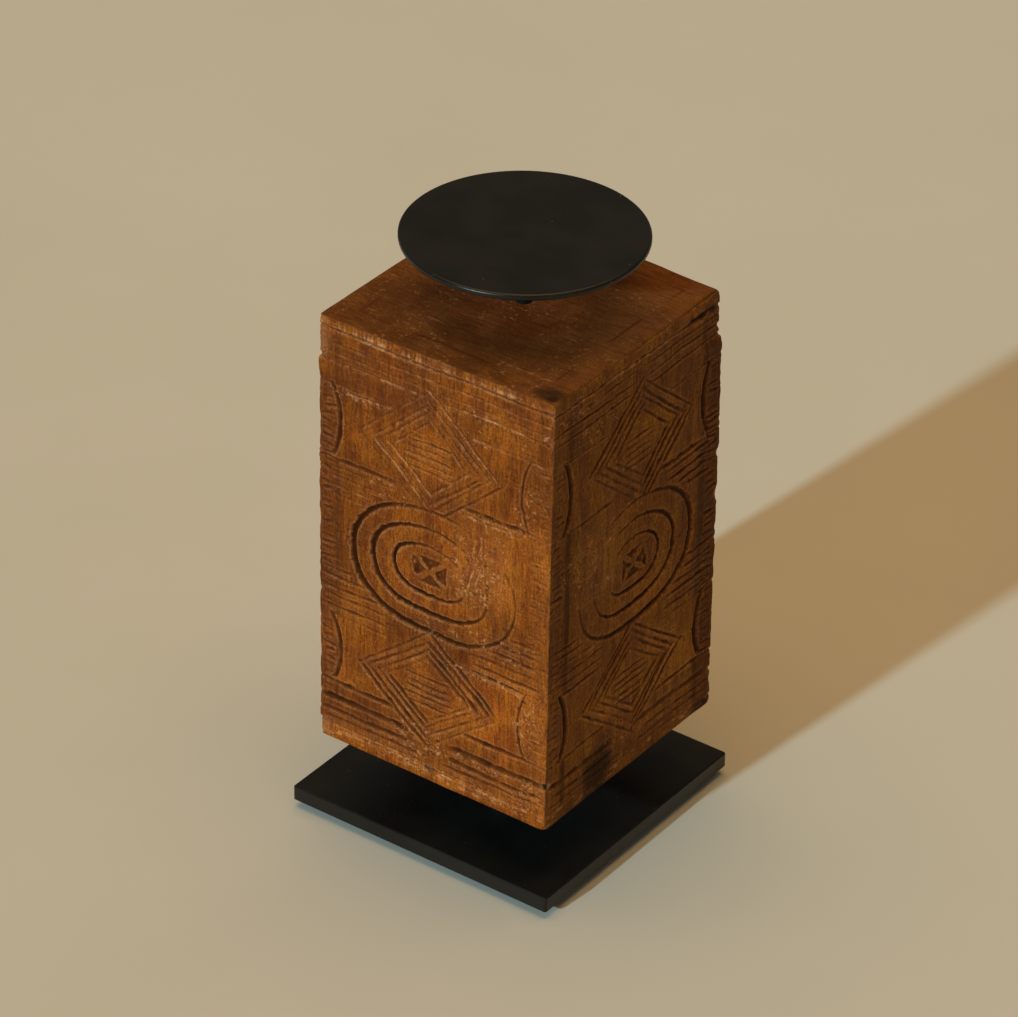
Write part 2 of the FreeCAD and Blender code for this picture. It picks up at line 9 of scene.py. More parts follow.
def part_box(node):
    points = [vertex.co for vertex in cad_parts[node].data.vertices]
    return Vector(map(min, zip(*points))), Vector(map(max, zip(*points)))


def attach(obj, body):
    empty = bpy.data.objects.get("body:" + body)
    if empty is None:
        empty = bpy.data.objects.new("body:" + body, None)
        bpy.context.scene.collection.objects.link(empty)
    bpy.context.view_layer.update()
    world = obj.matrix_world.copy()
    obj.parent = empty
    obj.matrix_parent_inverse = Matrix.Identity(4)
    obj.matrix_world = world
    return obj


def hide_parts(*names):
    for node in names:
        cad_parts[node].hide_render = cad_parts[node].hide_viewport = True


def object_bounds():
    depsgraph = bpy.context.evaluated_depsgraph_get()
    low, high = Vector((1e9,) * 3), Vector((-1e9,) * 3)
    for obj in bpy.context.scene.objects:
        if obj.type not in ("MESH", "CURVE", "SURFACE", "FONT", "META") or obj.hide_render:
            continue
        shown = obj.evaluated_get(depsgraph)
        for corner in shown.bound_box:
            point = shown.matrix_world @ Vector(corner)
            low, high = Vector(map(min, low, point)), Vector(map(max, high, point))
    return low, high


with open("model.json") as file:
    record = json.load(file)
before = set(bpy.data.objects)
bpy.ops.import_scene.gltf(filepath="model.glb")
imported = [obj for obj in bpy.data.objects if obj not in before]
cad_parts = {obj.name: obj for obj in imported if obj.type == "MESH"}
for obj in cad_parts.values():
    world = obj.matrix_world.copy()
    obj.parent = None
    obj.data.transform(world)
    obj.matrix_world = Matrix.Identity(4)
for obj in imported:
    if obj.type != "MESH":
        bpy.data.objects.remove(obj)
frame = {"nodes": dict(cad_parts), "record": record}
cad_low, cad_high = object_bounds()

MM = 0.001

# ---- the block's grid

BLOCK_LOW, BLOCK_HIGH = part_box("carved_block")
BLOCK_WIDE = (BLOCK_HIGH.x - BLOCK_LOW.x) / MM
BLOCK_TALL = (BLOCK_HIGH.z - BLOCK_LOW.z) / MM
HALF = BLOCK_WIDE / 2
CELL = 0.38
ACROSS = round(BLOCK_WIDE / CELL)
DOWN = round(BLOCK_TALL / CELL)
EDGE_RADIUS = 0.4
TURN_ZONE = 3
FACES = 4
BLOCK_SHIFT = (0.5, 0.35)

# How the four upright faces differ: one value for each face, seen from outside.
STYLES = {
    # +1 where the worn side is on the right, -1 where it is on the left
    "worn_side": (1, -1, 1, -1),
    "seed": (11, 23, 37, 53),
    # how far right and how far down the whole pattern stands off
    "shift": (-1.8, 0.6, -0.8, 0.6),
    "drop": (0, 1.3, 0.4, -0.3),
    # how far each nest of diamonds stands off, towards the worn side and down
    "nests": (((0, 0), (0, 0)), ((-2.2, -1.3), (-0.5, -1)),
              ((0.8, -0.6), (-1, 0.4)), ((-0.6, 0.6), (0.9, -0.4))),
    # how wide the nests and the ovals are, against their usual width
    "wide": ((1, 1), (0.99, 0.95), (1.02, 0.98), (0.99, 1.02)),
    # where the deep side's strip begins, and how soft its border is
    "strip": ((45.8, 4), (44, 0.8), (45, 1.5), (46.4, 1.5)),
    # how pale the lip is rubbed, how far its line sinks on the deep side, the lines below it
    "lip": (1, 0.3, 0.6, 0.8),
    "lip_drop": (0, 1.8, 0.5, 0.3),
    "top_lines": (0.35, 0.9, 0.9, 0.6),
    # how deep and how pale the four sides of the nests are
    "upper": ((0.5, 0.5, 0.65, 0.45), (0.9, 1.2, 0.7, 1.4), (1.1, 1, 0.8, 0.9), (0.9, 1.1, 0.8, 0.8)),
    "upper_rims": ((0.55, 0.6, 0.45, 0.6), (0.3, 0.3, 0.3, 0.4),
                   (0.5, 0.6, 0.3, 0.4), (0.9, 0.4, 0.4, 0.8)),
    "lower": ((0.65, 1.4, 0.65, 1.2), (0.9, 1.4, 0.8, 1.5), (1, 0.9, 1, 1.3), (1.1, 1, 1.2, 1)),
    # how far the lower corner of each nest stands off to the worn side
    "lean": ((0, -0.6), (-3, -1.5), (1, -1), (-1, 1.5)),
    # lines beside the ovals: upper deep side, lower deep side, lower worn side
    "corners": ((0.3, 0.6, 0.8), (1, 0.8, 0.6), (0.8, 0.9, 0.7), (0.6, 0.8, 0.8)),
    # lines under the two panels, deep side and worn side, and the lines below them
    "sills": (((0.9, 0.9), (1, 1.1)), ((1.2, 0.5), (0.8, 0.6)),
              ((1.1, 0.8), (1.2, 0.9)), ((1, 1), (1, 0.8))),
    "foot": (0.9, 0.6, 0.9, 1),
    # short cuts in the strips, deep side and worn side
    "hatches": ((0.75, 0.45), (0.8, 0.7), (0.8, 0.6), (0.7, 0.6)),
    # half width and depth of the arched edges, deep side and worn side
    "arches": (((1.6, 0.9), (0.7, 0.75)), ((2.2, 1.6), (1.9, 1.3)),
               ((1.7, 1.3), (1.1, 1.1)), ((1.5, 1.2), (0.9, 0.9))),
    # how deep the ovals are, and how far the outer one stands off to the worn side
    "ovals": ((0.92, 1.9), (0.72, -0.8), (1, 0.6), (0.85, 0.3)),
    # painted shade in a band along the strips' edges, deep side and worn side
    "edge_shade": ((0.4, 0), (0.8, 0.75), (0.6, 0.3), (0.5, 0.2)),
    # how deep all other cuts are
    "rest": (1, 1, 1.05, 0.9),
    # painted shade: how far each face's colour is shifted to the cooler, less red cast of a face turned
    # away from the key light
    "shaded_face_cast": (0, 1, 0.5, 0.3),
}

# ---- noise

LATTICE = 32


def lattice_noise(points, cell, seed):
    """Smooth noise from -1 to 1 at points (N, 3); cell is its size in mm, one number or three."""
    table = np.random.default_rng(seed).uniform(-1, 1, LATTICE ** 3).astype(np.float32)
    scaled = (points / np.broadcast_to(np.asarray(cell, float), 3) + 100).astype(np.float32)
    base = np.floor(scaled).astype(np.int32)
    part = scaled - base
    part = part * part * (3 - 2 * part)
    low = base % LATTICE
    high = (base + 1) % LATTICE
    total = 0
    for x, weight_x in ((low[:, 0], 1 - part[:, 0]), (high[:, 0], part[:, 0])):
        for y, weight_y in ((low[:, 1], 1 - part[:, 1]), (high[:, 1], part[:, 1])):
            column = (x * LATTICE + y) * LATTICE
            along = table[column + low[:, 2]]
            along = along + part[:, 2] * (table[column + high[:, 2]] - along)
            total = total + weight_x * weight_y * along
    return total


def layered_noise(points, cell, seed, layers=3):
    """Noise of several sizes, each half as large and half as strong as the last."""
    cell = np.asarray(cell, float)
    total, strength = 0, 1
    for layer in range(layers):
        total = total + strength * lattice_noise(points, cell / 2 ** layer, seed + layer)
        strength /= 2
    return total


def smooth_step(low, high, value):
    part = np.clip((value - low) / (high - low), 0, 1)
    return part * part * (3 - 2 * part)


def between(value, low, high, soft):
    """1 inside low..high, 0 outside, with soft ends."""
    return smooth_step(low - soft, low + soft, value) * (1 - smooth_step(high - soft, high + soft, value))


# ---- the carving of one face
#
# s is measured across the face from its middle, positive towards the worn side;
# t is measured down from the top; both in mm.  Cut depths are positive.

LIP = 4.8
UPPER_LINES = (10.2, 14.8, 19.2)
UPPER_SILL = 30
NESTS = ((46.2, 0.86), (159.2, 0.79))
NEST_HALF_WIDTHS = (19.8, 25, 30.2, 35.4)
PANELS = ((30, 64.3), (140.7, 174))
OVAL_CENTRE = 101.1
OVALS = ((41, 29.4, 1.6), (29.4, 20.4, 1.4), (18.4, 12, 1.1))
OVAL_SQUARENESS = (2, 2.45)
LOWER_LINES = ((183.4, 2.3, 1.5), (188.9, 1.6, 1.15), (193.2, 1.2, 0.8))
FOOT_BAND = 196.4
STRIP_EDGE = 45.8
ARCH_RADIUS = 36
ARCH_CROWN = 44.9
PAST_EDGE = HALF + 3
ARM_REACH = (8, 6.3)
WANDER_ROOM = 2.8
SHOULDER = 3.2
SHOULDER_SHARE = 0.42


class Relief:
    """Depths cut into one face: lines, kept as the deepest of all, and sunk areas."""

    def __init__(self, s, t, style, rng):
        self.s = s
        self.t = t
        self.side = style["worn_side"]
        self.shift = style["shift"]
        self.rng = rng
        self.lines = np.zeros_like(s)
        self.sunk = np.zeros_like(s)
        self.pale = np.zeros_like(s)

    def window(self, low_s, high_s, low_t, high_t):
        """The part of the grid that holds a rectangle, with room for the wander."""
        if self.side < 0:
            low_s, high_s = -high_s, -low_s
        first = int((low_s + self.shift + HALF - WANDER_ROOM) / CELL)
        last = int((high_s + self.shift + HALF + WANDER_ROOM) / CELL) + 1
        top = int((low_t - WANDER_ROOM) / CELL)
        low = int((high_t + WANDER_ROOM) / CELL) + 1
        return slice(max(0, top), max(0, low)), slice(max(0, first), max(0, last))

    def side_end(self, side):
        """How far out from the pattern's middle the face ends, on one side."""
        return HALF - side * self.side * self.shift

    def groove(self, distance, half_width, depth, part=slice(None)):
        wall = np.clip(1.2 * (1 - distance / half_width), 0, 1)
        self.lines[part] = np.maximum(self.lines[part], depth * wall)

    def line(self, start, end, half_width, depth, rim=0.3, rim_side=1):
        """One hand-cut line: a little bowed, of uneven depth, thinner at its ends.

        rim is how pale the wood is rubbed along the line's lower edge, or, with a
        rim_side of -1, along its upper edge.
        """
        part = self.window(min(start[0], end[0]), max(start[0], end[0]),
                           min(start[1], end[1]), max(start[1], end[1]))
        along = np.subtract(end, start)
        length = math.hypot(*along)
        off_s, off_t = self.s[part] - start[0], self.t[part] - start[1]
        place = np.clip((off_s * along[0] + off_t * along[1]) / length ** 2, 0, 1)
        bow = self.rng.uniform(-0.009, 0.009) * length * 4 * place * (1 - place)
        across = (off_t * along[0] - off_s * along[1]) / length - bow
        past = np.hypot(off_s - place * along[0], off_t - place * along[1]) - np.abs(across + bow)
        knots = max(3, int(length / 3.5))
        uneven = np.interp(place, np.linspace(0, 1, knots), self.rng.uniform(0.55, 1.15, knots))
        taper = 0.5 + 0.5 * np.minimum(1, 7 * np.minimum(place, 1 - place))
        off = np.abs(across) + np.clip(past, 0, None)
        self.groove(off, half_width * (0.55 + 0.45 * taper * uneven), depth * taper * uneven, part)
        below = rim_side * (across if along[0] > 0 else -across)
        edge = np.exp(-((below - half_width) / 0.42) ** 2) * (past < 0.3)
        fading = np.interp(place, np.linspace(0, 1, 4), self.rng.uniform(0.1, 1.4, 4))
        self.pale[part] = np.maximum(self.pale[part], rim * edge * uneven * fading)

    def level(self, t, half_width, depth, inner, outer, sides=(-1, 1), rim_side=1):
        """A level line on one or both sides of the middle, between two distances from it."""
        for side in sides:
            ends = [inner + self.rng.uniform(-1, 1), outer + self.rng.uniform(-1, 1)]
            tilt = self.rng.uniform(-0.35, 0.35)
            self.line((side * ends[0], t - tilt), (side * ends[1], t + tilt), half_width, depth,
                      rim_side=rim_side)

    def oval(self, middle, wide, tall, half_width, depth):
        """A squarish oval groove; half_width and depth change round it, so they are arrays."""
        x = (self.s - middle) / wide
        y = (self.t - OVAL_CENTRE) / tall
        power = np.where(y < 0, *OVAL_SQUARENESS)
        ring = (np.abs(x) ** power + np.abs(y) ** power) ** (1 / power) + 1e-6
        slope = np.hypot(x / wide, y / tall) / np.hypot(x, y).clip(1e-6)
        off = np.abs(ring - 1) / (slope + 1e-6)
        self.groove(off, half_width, depth)
        shoulder = np.clip(1 - off / (half_width + SHOULDER), 0, 1)
        self.sunk = np.maximum(self.sunk, SHOULDER_SHARE * depth * shoulder ** 2)


def carve_upper_band(cut, strength, drop):
    breaks = (-PAST_EDGE, -18, 21, PAST_EDGE)
    ends = [(s, LIP + drop * max(0, -s / PAST_EDGE)) for s in breaks]
    for start, end in zip(ends, ends[1:]):
        cut.line(start, end, 0.6, 1.1, rim=0.9)
    if drop > 1:
        cut.line((-PAST_EDGE, LIP + drop), (-36, LIP + 0.6 * drop), 1.9, 1.6)
    for t in UPPER_LINES:
        cut.level(t, 0.7, 0.9 * strength, 4, PAST_EDGE)
    cut.level(UPPER_SILL, 0.7, 0.5 * strength, 18, PAST_EDGE)
    for s in (-2.9, 2.7):
        cut.line((s, 8), (s + cut.rng.uniform(-0.6, 0.6), 24), 0.6, 0.8 * strength)


def carve_nest(cut, nest, place, spread, strengths, rims, lean):
    """Nested diamonds, as four sides of parallel lines that overrun at their corners."""
    centre, slope = nest
    rng = cut.rng
    corners = ((-1, 0), (0, -1), (1, 0), (0, 1), (-1, 0))
    for first, last, strength, rim in zip(corners, corners[1:], strengths, rims):
        for wide in np.array(NEST_HALF_WIDTHS) * spread:
            ends = []
            for x, y in (first, last):
                end = np.array([x * wide + lean * max(0, y), centre + y * wide * slope])
                ends.append(end + place + rng.uniform(-0.8, 0.8, 2))
            width = (0.4 + 0.75 * strength) * rng.uniform(0.85, 1.2)
            depth = strength * rng.uniform(0.6, 1)
            cut.line(ends[0], ends[1], width, depth, rim * rng.uniform(0.4, 1.2))


def carve_nest_hatch(cut, nest, strength):
    centre = nest[0]
    for number in range(5):
        t = centre - 5.6 + 3.3 * number
        reach = 11.5 - 0.5 * abs(number - 2)
        start = (-reach + cut.rng.uniform(-1.5, 1), t + cut.rng.uniform(-0.4, 0.4))
        end = (reach + cut.rng.uniform(-1, 1.5), t + cut.rng.uniform(-0.4, 0.4))
        cut.line(start, end, 0.4 + 0.6 * strength, strength)


def arch_edge(t, panel):
    """How far from the middle line the arched edge of a side panel is, at height t."""
    middle = (panel[0] + panel[1]) / 2
    rise = np.clip(ARCH_RADIUS ** 2 - (t - middle) ** 2, 0, None)
    return ARCH_CROWN + ARCH_RADIUS - np.sqrt(rise)


def carve_panels(cut, strength, arches, sills):
    """Lines over and under each panel, and the arched edges at its two sides."""
    for number, panel in enumerate(PANELS):
        top, bottom = panel
        part = cut.window(-HALF, HALF, top, bottom)
        inside = between(cut.t[part], top - 0.5, bottom - 0.5, 0.6)
        edge = arch_edge(cut.t[part], panel)
        for side, (half_width, depth), sill in zip((-1, 1), arches, sills[number]):
            off = np.abs(cut.s[part] * side - edge - 0.4 * half_width)
            cut.groove(off, half_width, depth * strength * inside, part)
            line = bottom - 0.7 * side
            cut.level(line, 0.8 + 0.7 * sill, 1.05 * sill, 17, 49, (side,), rim_side=-1)
            cut.level(line, 0.8, 0.6 * sill, 49, PAST_EDGE, (side,), rim_side=-1)
            if number:
                cut.level(top, 1, 0.7 + 0.3 * side, 22, 49, (side,))


def strip_distances(cut):
    """How far each point is out past the strips' edges, on the deep and on the worn side."""
    edge = np.full_like(cut.t, STRIP_EDGE)
    for panel in PANELS:
        inside = between(cut.t, panel[0], panel[1], 0.5)
        edge = edge * (1 - inside) + arch_edge(cut.t, panel) * inside
    return -cut.s - edge, cut.s - edge


def strip_shares(cut, start, soft):
    """How much each point is on the deep and on the worn strip, from 0 to 1."""
    deep_off, worn_off = strip_distances(cut)
    in_panels = sum(between(cut.t, top, bottom, 0.5) for top, bottom in PANELS)
    plain = smooth_step(start - soft, start + soft, -cut.s)
    deep = plain * (1 - in_panels) + smooth_step(-0.6, 0.6, deep_off) * in_panels
    return deep, smooth_step(-0.6, 0.6, worn_off)


def carve_strips(cut, strength, shares, hatches):
    """The strips stand back a little and are hatched with short level cuts."""
    rows = between(cut.t, 26, 195, 2)
    deep, worn = [rows * share for share in shares]
    cut.sunk = np.maximum(cut.sunk, strength * np.maximum(0.25 * deep, 0.15 * worn))
    rng = cut.rng
    for side, depth, inner in ((-1, hatches[0], 46.5), (1, hatches[1], 48)):
        t = 33
        while t < 178:
            if rng.uniform() > 0.15:
                start = inner + 1 + 2.2 * abs(math.sin(t)) + rng.uniform(-0.5, 1)
                tilt = rng.uniform(-0.6, 0.6)
                end = cut.side_end(side) - rng.uniform(0.3, 4)
                cut.line((side * start, t - tilt), (side * end, t + tilt), 0.75 + 0.45 * depth,
                         depth * strength * rng.uniform(0.4, 1.1), rim=0.15)
            t += rng.uniform(2.9, 4.2)


def carve_oval_corners(cut, strengths):
    """Short level lines that run from the strips in towards the outer oval."""
    wide, tall, _ = OVALS[0]
    upper, lower_deep, lower_worn = strengths

    def oval_reach(t):
        return (wide + 3) * math.sqrt(max(0, 1 - ((t - OVAL_CENTRE) / (tall + 3)) ** 2))

    for t in (68.6, 73, 77.4, 81.8):
        inner = max(21, oval_reach(t))
        cut.level(t, 0.6 + 0.6 * upper, upper, inner, 50, sides=(-1,))
    for t in (118, 122.4, 127, 131.6, 136.2):
        for side, outer, depth in ((-1, 54, lower_deep), (1, 55, lower_worn)):
            inner = max(20, oval_reach(t)) + cut.rng.uniform(0, 3)
            middle = t + cut.rng.uniform(-0.5, 0.5)
            cut.level(middle, 0.8 + 0.5 * depth, depth * cut.rng.uniform(0.8, 1.2), inner, outer, (side,))


def carve_ovals(cut, spread, strength, outer_middle, worn, jag):
    angle = np.arctan2(cut.t - OVAL_CENTRE, cut.s)
    wide, tall, _ = OVALS[0]
    across = (cut.s - outer_middle) / wide / spread
    outside = smooth_step(0.95, 1.01, np.hypot(across, (cut.t - OVAL_CENTRE) / tall))
    cut.lines *= outside
    cut.pale *= outside
    deep_side = np.clip(0.45 - 0.65 * np.cos(angle + 0.72), 0, 1)
    for (wide, tall, half_width), middle in zip(OVALS, (outer_middle, 0, 0)):
        width = half_width * (0.52 + 0.68 * deep_side + 0.36 * jag)
        depth = strength * (0.6 + 1.2 * deep_side) * (1 - 0.9 * worn)
        cut.oval(middle, wide * spread, tall, np.clip(width, 0.35, None), depth)


def carve_cross(cut, strength, jag):
    """Four sunk triangles round a standing cross, roughly cut."""
    part = cut.window(-9, 9, OVAL_CENTRE - 8, OVAL_CENTRE + 8)
    rough = 0.75 * jag[part]
    x = np.abs(cut.s[part] - 0.5 + rough)
    y = np.abs(cut.t[part] - OVAL_CENTRE - rough)
    wide, tall = ARM_REACH
    inside = between(x, -9, wide + rough, 0.4) * between(y, -9, tall - rough, 0.4)
    diagonal = np.abs(x / wide - y / tall) * tall
    away = smooth_step(0.9, 2.3, diagonal + rough)
    depth = 1.05 * strength * (0.85 + 0.7 * rough)
    cut.lines[part] = np.maximum(cut.lines[part], inside * away * depth)


def carve_lower_band(cut, strength):
    rng = cut.rng
    for t, half_width, depth in LOWER_LINES:
        for side in (-1, 1):
            start = rng.uniform(3, 13)
            middle = rng.uniform(28, 36)
            sag = rng.uniform(-0.8, 0.8)
            cut.line((side * start, t), (side * middle, t + sag), half_width, depth * strength)
            end = (side * (cut.side_end(side) - rng.uniform(0.5, 5)), t + 0.5 * sag)
            cut.line((side * middle, t + sag), end, half_width * rng.uniform(0.8, 1), depth * strength)
    cut.level(FOOT_BAND, 0.6, 0.6 * strength, -2, HALF + 2)


# where each face has broken away in small chips: middle s and t, reach, share
CHIPPED = {
    0: [(-4, 186, 16, 9.5, 0.75), (50, 190, 10, 9, 0.55), (12, 90, 14, 8, 0.45), (36, 124, 18, 9, 0.45),
        (50, 155, 8, 16, 0.7), (47, 54, 6, 14, 0.5), (28, 141.5, 22, 2.6, 0.9), (20, 24, 38, 10, 0.3),
        (32, 186, 28, 2.4, 0.8), (-22, 70, 14, 6, 0.4), (22, 96, 20, 16, 0.6), (10, 127, 20, 5, 0.45),
        (-38, 32, 18, 3, 0.7), (5, 199.5, 54, 3.5, 0.7), (34, 66, 20, 3, 0.65), (57, 17, 3, 3, 0.9)],
    1: [(38, 84, 15, 10, 0.65), (28, 24, 18, 6, 0.6), (44, 9, 14, 6, 0.5), (5, 184, 22, 9, 0.4),
        (8, 76, 16, 6, 0.4)],
    2: [(10, 92, 16, 10, 0.5), (-8, 186, 20, 9, 0.6), (40, 40, 16, 16, 0.4)],
    3: [(-12, 100, 12, 12, 0.4), (16, 188, 20, 8, 0.6), (30, 22, 24, 8, 0.5)],
}


# pale lines rubbed into the faces: s and t at the start and the end
RUBBED_LINES = {
    0: [(-50, 18.8, -4, 18.4), (14, 18.6, 45, 18.2), (-40, 31.6, -20, 30.6), (-12, 10.2, 2, 9.8),
        (22, 29.4, 55, 29.8), (25.3, 77.7, 19.1, 100), (22.4, 77, 18, 93), (27, 82, 22, 101),
        (19, 66.4, 40, 66), (-20, 198, 52, 197.6), (-48, 198.8, -24, 198.2), (27, 141.8, 46, 142.2)],
    1: [(24, 9, 50, 9.6), (-48, 64.6, -20, 64), (18, 80, 30, 86)],
}


# broad changes of colour on each face: middle s and t, reach, from -1 (dark) to 1 (golden)
TONE_ZONES = {
    0: [(-58, 90, 22, 60, -0.75), (-30, 36, 20, 14, -0.35), (-5, 46, 18, 16, 0.5), (45, 76, 14, 12, 0.4),
        (9, 89, 10, 9, 0.5), (36, 154, 20, 22, 0.9), (6, 134, 16, 14, -0.5), (-17, 128, 14, 7, -0.4),
        (-19, 172, 12, 8, -0.3), (57, 24, 9, 36, -0.5), (0, 199.5, 56, 5, 0.5), (-40, 186, 26, 8, -0.4),
        (-38, 50, 9, 14, 0.35), (30, 186, 26, 7, -0.2), (-52, 22, 14, 16, -0.5)],
    1: [(54, 90, 10, 60, -0.5), (-53, 100, 10, 105, -1), (-8, 164, 34, 20, 0.6), (-34, 34, 14, 26, 0.35),
        (38, 72, 12, 14, -0.4), (-32, 172, 16, 10, 0.6), (-8, 120, 30, 12, 0.35), (-20, 186, 24, 8, 0.4),
        (20, 198, 30, 8, -0.4)],
    2: [(-20, 60, 26, 30, 0.5), (50, 120, 16, 50, -0.6), (10, 176, 30, 20, 0.4)],
    3: [(18, 50, 24, 26, 0.4), (-50, 100, 14, 60, -0.6), (0, 160, 34, 18, 0.6)],
}


def patch_distance(s, t, middle_s, middle_t, reach_s, reach_t):
    """Distance from a patch's middle, squared, with 1 at its reach."""
    return ((s - middle_s) / reach_s) ** 2 + ((t - middle_t) / reach_t) ** 2


def tone_map(face, s, t, unevenness):
    total = 0.35 * unevenness
    for *patch, tone in TONE_ZONES[face]:
        off = patch_distance(s, t, *patch) + 0.3 * unevenness
        total = total + tone * smooth_step(1.8, 0.1, off)
    return np.clip(0.5 + 0.5 * total, 0, 1)


def chip_share(face, s, t):
    total = np.zeros_like(s)
    for *patch, share in CHIPPED[face]:
        total = np.maximum(total, share * smooth_step(1.4, 0.3, patch_distance(s, t, *patch)))
    return total


def face_relief(face, points):
    """Heights of one face (rows down, columns left to right) and its colour masks."""
    style = {name: values[face] for name, values in STYLES.items()}
    shape = (DOWN + 1, ACROSS + 1)
    flat = points.reshape(-1, 3)
    across = np.linspace(-HALF, HALF, ACROSS + 1)[None, :] - style["shift"]
    down = np.linspace(0, BLOCK_TALL, DOWN + 1)[:, None]

    def wander(cell, seed):
        return lattice_noise(flat, cell, style["seed"] * 7 + seed).reshape(shape)

    def layers(cell, seed, count):
        return layered_noise(flat, cell, style["seed"] + seed, count).reshape(shape)

    jag = wander(2.2, 2)
    s = across * style["worn_side"] + 0.6 * wander(13, 1) + 0.2 * jag + 0.13 * wander(1.1, 12)
    t = down - style["drop"] + 0.5 * wander(15, 3) + 0.24 * wander(2.4, 4) + 0.15 * wander(1.2, 13)
    patch = between(s, 13, 42, 7) * between(t, 70, 108, 8)
    edge = smooth_step(44, 58, s) * 0.4
    worn = np.clip((patch + edge) * (0.8 + 0.4 * wander(6, 5)), 0, 1)

    cut = Relief(s, t, style, np.random.default_rng(style["seed"]))
    strength = style["rest"]
    carve_upper_band(cut, style["top_lines"], style["lip_drop"])
    upper, lower = style["nests"]
    spread, oval_spread = style["wide"]
    carve_nest(cut, NESTS[0], upper, spread, style["upper"], style["upper_rims"], style["lean"][0])
    carve_nest(cut, NESTS[1], lower, spread, style["lower"], (0.5, 0.4, 0.7, 0.5), style["lean"][1])
    carve_nest_hatch(cut, NESTS[0], 0.6 * strength)
    carve_nest_hatch(cut, NESTS[1], 0.85 * strength)
    carve_panels(cut, strength, style["arches"], style["sills"])
    carve_oval_corners(cut, style["corners"])
    carve_ovals(cut, oval_spread, *style["ovals"], worn, jag)
    carve_cross(cut, strength, jag)
    carve_lower_band(cut, style["foot"])
    shares = strip_shares(cut, *style["strip"])
    carve_strips(cut, strength, shares, style["hatches"])
    for start_s, start_t, end_s, end_t in RUBBED_LINES.get(face, ()):
        cut.line((start_s, start_t), (end_s, end_t), 0.7, 0.25, rim=0.85)

    lines = cut.lines * (1 - 0.4 * worn) * np.clip(0.95 + 0.4 * wander(4, 6), 0.2, 1.35)
    share = chip_share(face, s, t)
    chips = smooth_step(0, 0.7, layers((1.5, 1.5, 1.1), 90, 3) + 1.2 * share - 0.85)
    chips = chips * smooth_step(0.05, 0.3, share)
    crumbs = wander(0.9, 18)
    scars = worn * np.clip(wander((1.2, 1.2, 14), 8) - 0.1, 0, 1)
    chewed = np.clip(0.8 * worn + share - 0.2, 0, 1) * layers((3, 3, 4.5), 95, 3)
    height = -lines - cut.sunk - 0.25 * chips + 0.2 * chips * crumbs - 0.35 * scars + 0.24 * chewed

    deep_off, worn_off = strip_distances(cut)
    rows = between(t, 28, 178, 1.5)
    deep_strip = shares[0] * rows
    borders = between(t, 8, 196, 2)
    # painted shade: a dark band just past each strip's edge, where the step would shade it
    edge_shade = style["edge_shade"][0] * np.exp(-((deep_off - 1.2) / 1.6) ** 2)
    edge_shade = edge_shade + style["edge_shade"][1] * np.exp(-((worn_off - 1.2) / 1.6) ** 2)
    bands = 0.6 * between(t, 5, 33, 5) + 0.5 * between(t, 176, 196, 3)
    streaks = layers((2.4, 2.4, 9), 60, 3)
    grime = 0.45 + 0.5 * deep_strip + bands * (0.35 + 0.65 * smooth_step(25, -30, s)) - 0.5 * worn
    grime = smooth_step(0.1, 1.2, 0.75 * grime + 0.35 * streaks + 0.25 * wander(7, 14))

    chatter = smooth_step(-0.2, 0.6, wander((1, 1, 6), 15)) * smooth_step(-0.5, 0.4, wander(9, 16))
    lip = 0.2 * between(t, -2, 4.4, 0.6) + 0.9 * np.exp(-((t - 3.2) / 0.9) ** 2)
    lip = lip * chatter * style["lip"]
    foot = between(t, 196.6, 202, 1.2) * smooth_step(0, 0.9, layers((4, 4, 1.5), 70, 2)) * 0.7
    pale = np.clip(cut.pale * (0.7 + 0.8 * wander(2, 9)), 0, 1)
    flecks = np.clip(worn + 0.4 * share, 0, 1) * smooth_step(0.5, 1, layers(1.1, 97, 2)) * 0.8
    broken = 0.75 * chips * smooth_step(-0.3, 0.5, crumbs)
    pale = np.maximum(np.maximum(pale, broken), np.maximum(np.maximum(lip, foot), flecks))
    # dirt and painted shade: darker the deeper a cut is, and in the pits of chips
    cut_dirt_and_shade = np.clip(lines / 1.5, 0, 1) * np.clip(0.95 + 0.35 * wander(2.6, 10), 0, 1.2)
    cut_dirt_and_shade = np.maximum(cut_dirt_and_shade, 0.35 * chips * smooth_step(0.2, -0.7, crumbs))
    masks = {
        "cut_dirt_and_shade": np.maximum(cut_dirt_and_shade, edge_shade * borders * (0.8 + 0.4 * wander(4, 17))),
        "worn": worn,
        "pale": pale,
        "grime": np.clip(grime, 0, 1),
        "tone": tone_map(face, s, t, wander(18, 11)),
        "shaded_face_cast": np.full(shape, style["shaded_face_cast"]),
    }
    return height, masks


# ---- the block as a mesh

def box_points():
    """Points of the plain box: four walls as one wrapped sheet, and the two caps."""
    line = np.linspace(-HALF, HALF, ACROSS + 1)
    low = np.full(ACROSS, -HALF)
    x = np.concatenate([line[:-1], -low, -line[:-1], low])
    y = np.concatenate([low, line[:-1], -low, -line[:-1]])
    z = np.linspace(BLOCK_TALL, 0, DOWN + 1)
    walls = np.empty((DOWN + 1, FACES * ACROSS, 3))
    walls[..., 0] = x[None, :]
    walls[..., 1] = y[None, :]
    walls[..., 2] = z[:, None]
    grid_x, grid_y = np.meshgrid(line[1:-1], line[1:-1], indexing="ij")
    caps = []
    for level in (BLOCK_TALL, 0):
        caps.append(np.stack([grid_x, grid_y, np.full_like(grid_x, level)], -1))
    return walls, caps


def rounded(points, radius):
    """The core that the plain box is rounded about, and each point's outward direction."""
    low = np.array([-HALF + radius, -HALF + radius, radius])
    high = np.array([HALF - radius, HALF - radius, BLOCK_TALL - radius])
    core = np.clip(points, low, high)
    out = points - core
    return core, out / np.linalg.norm(out, axis=-1, keepdims=True)


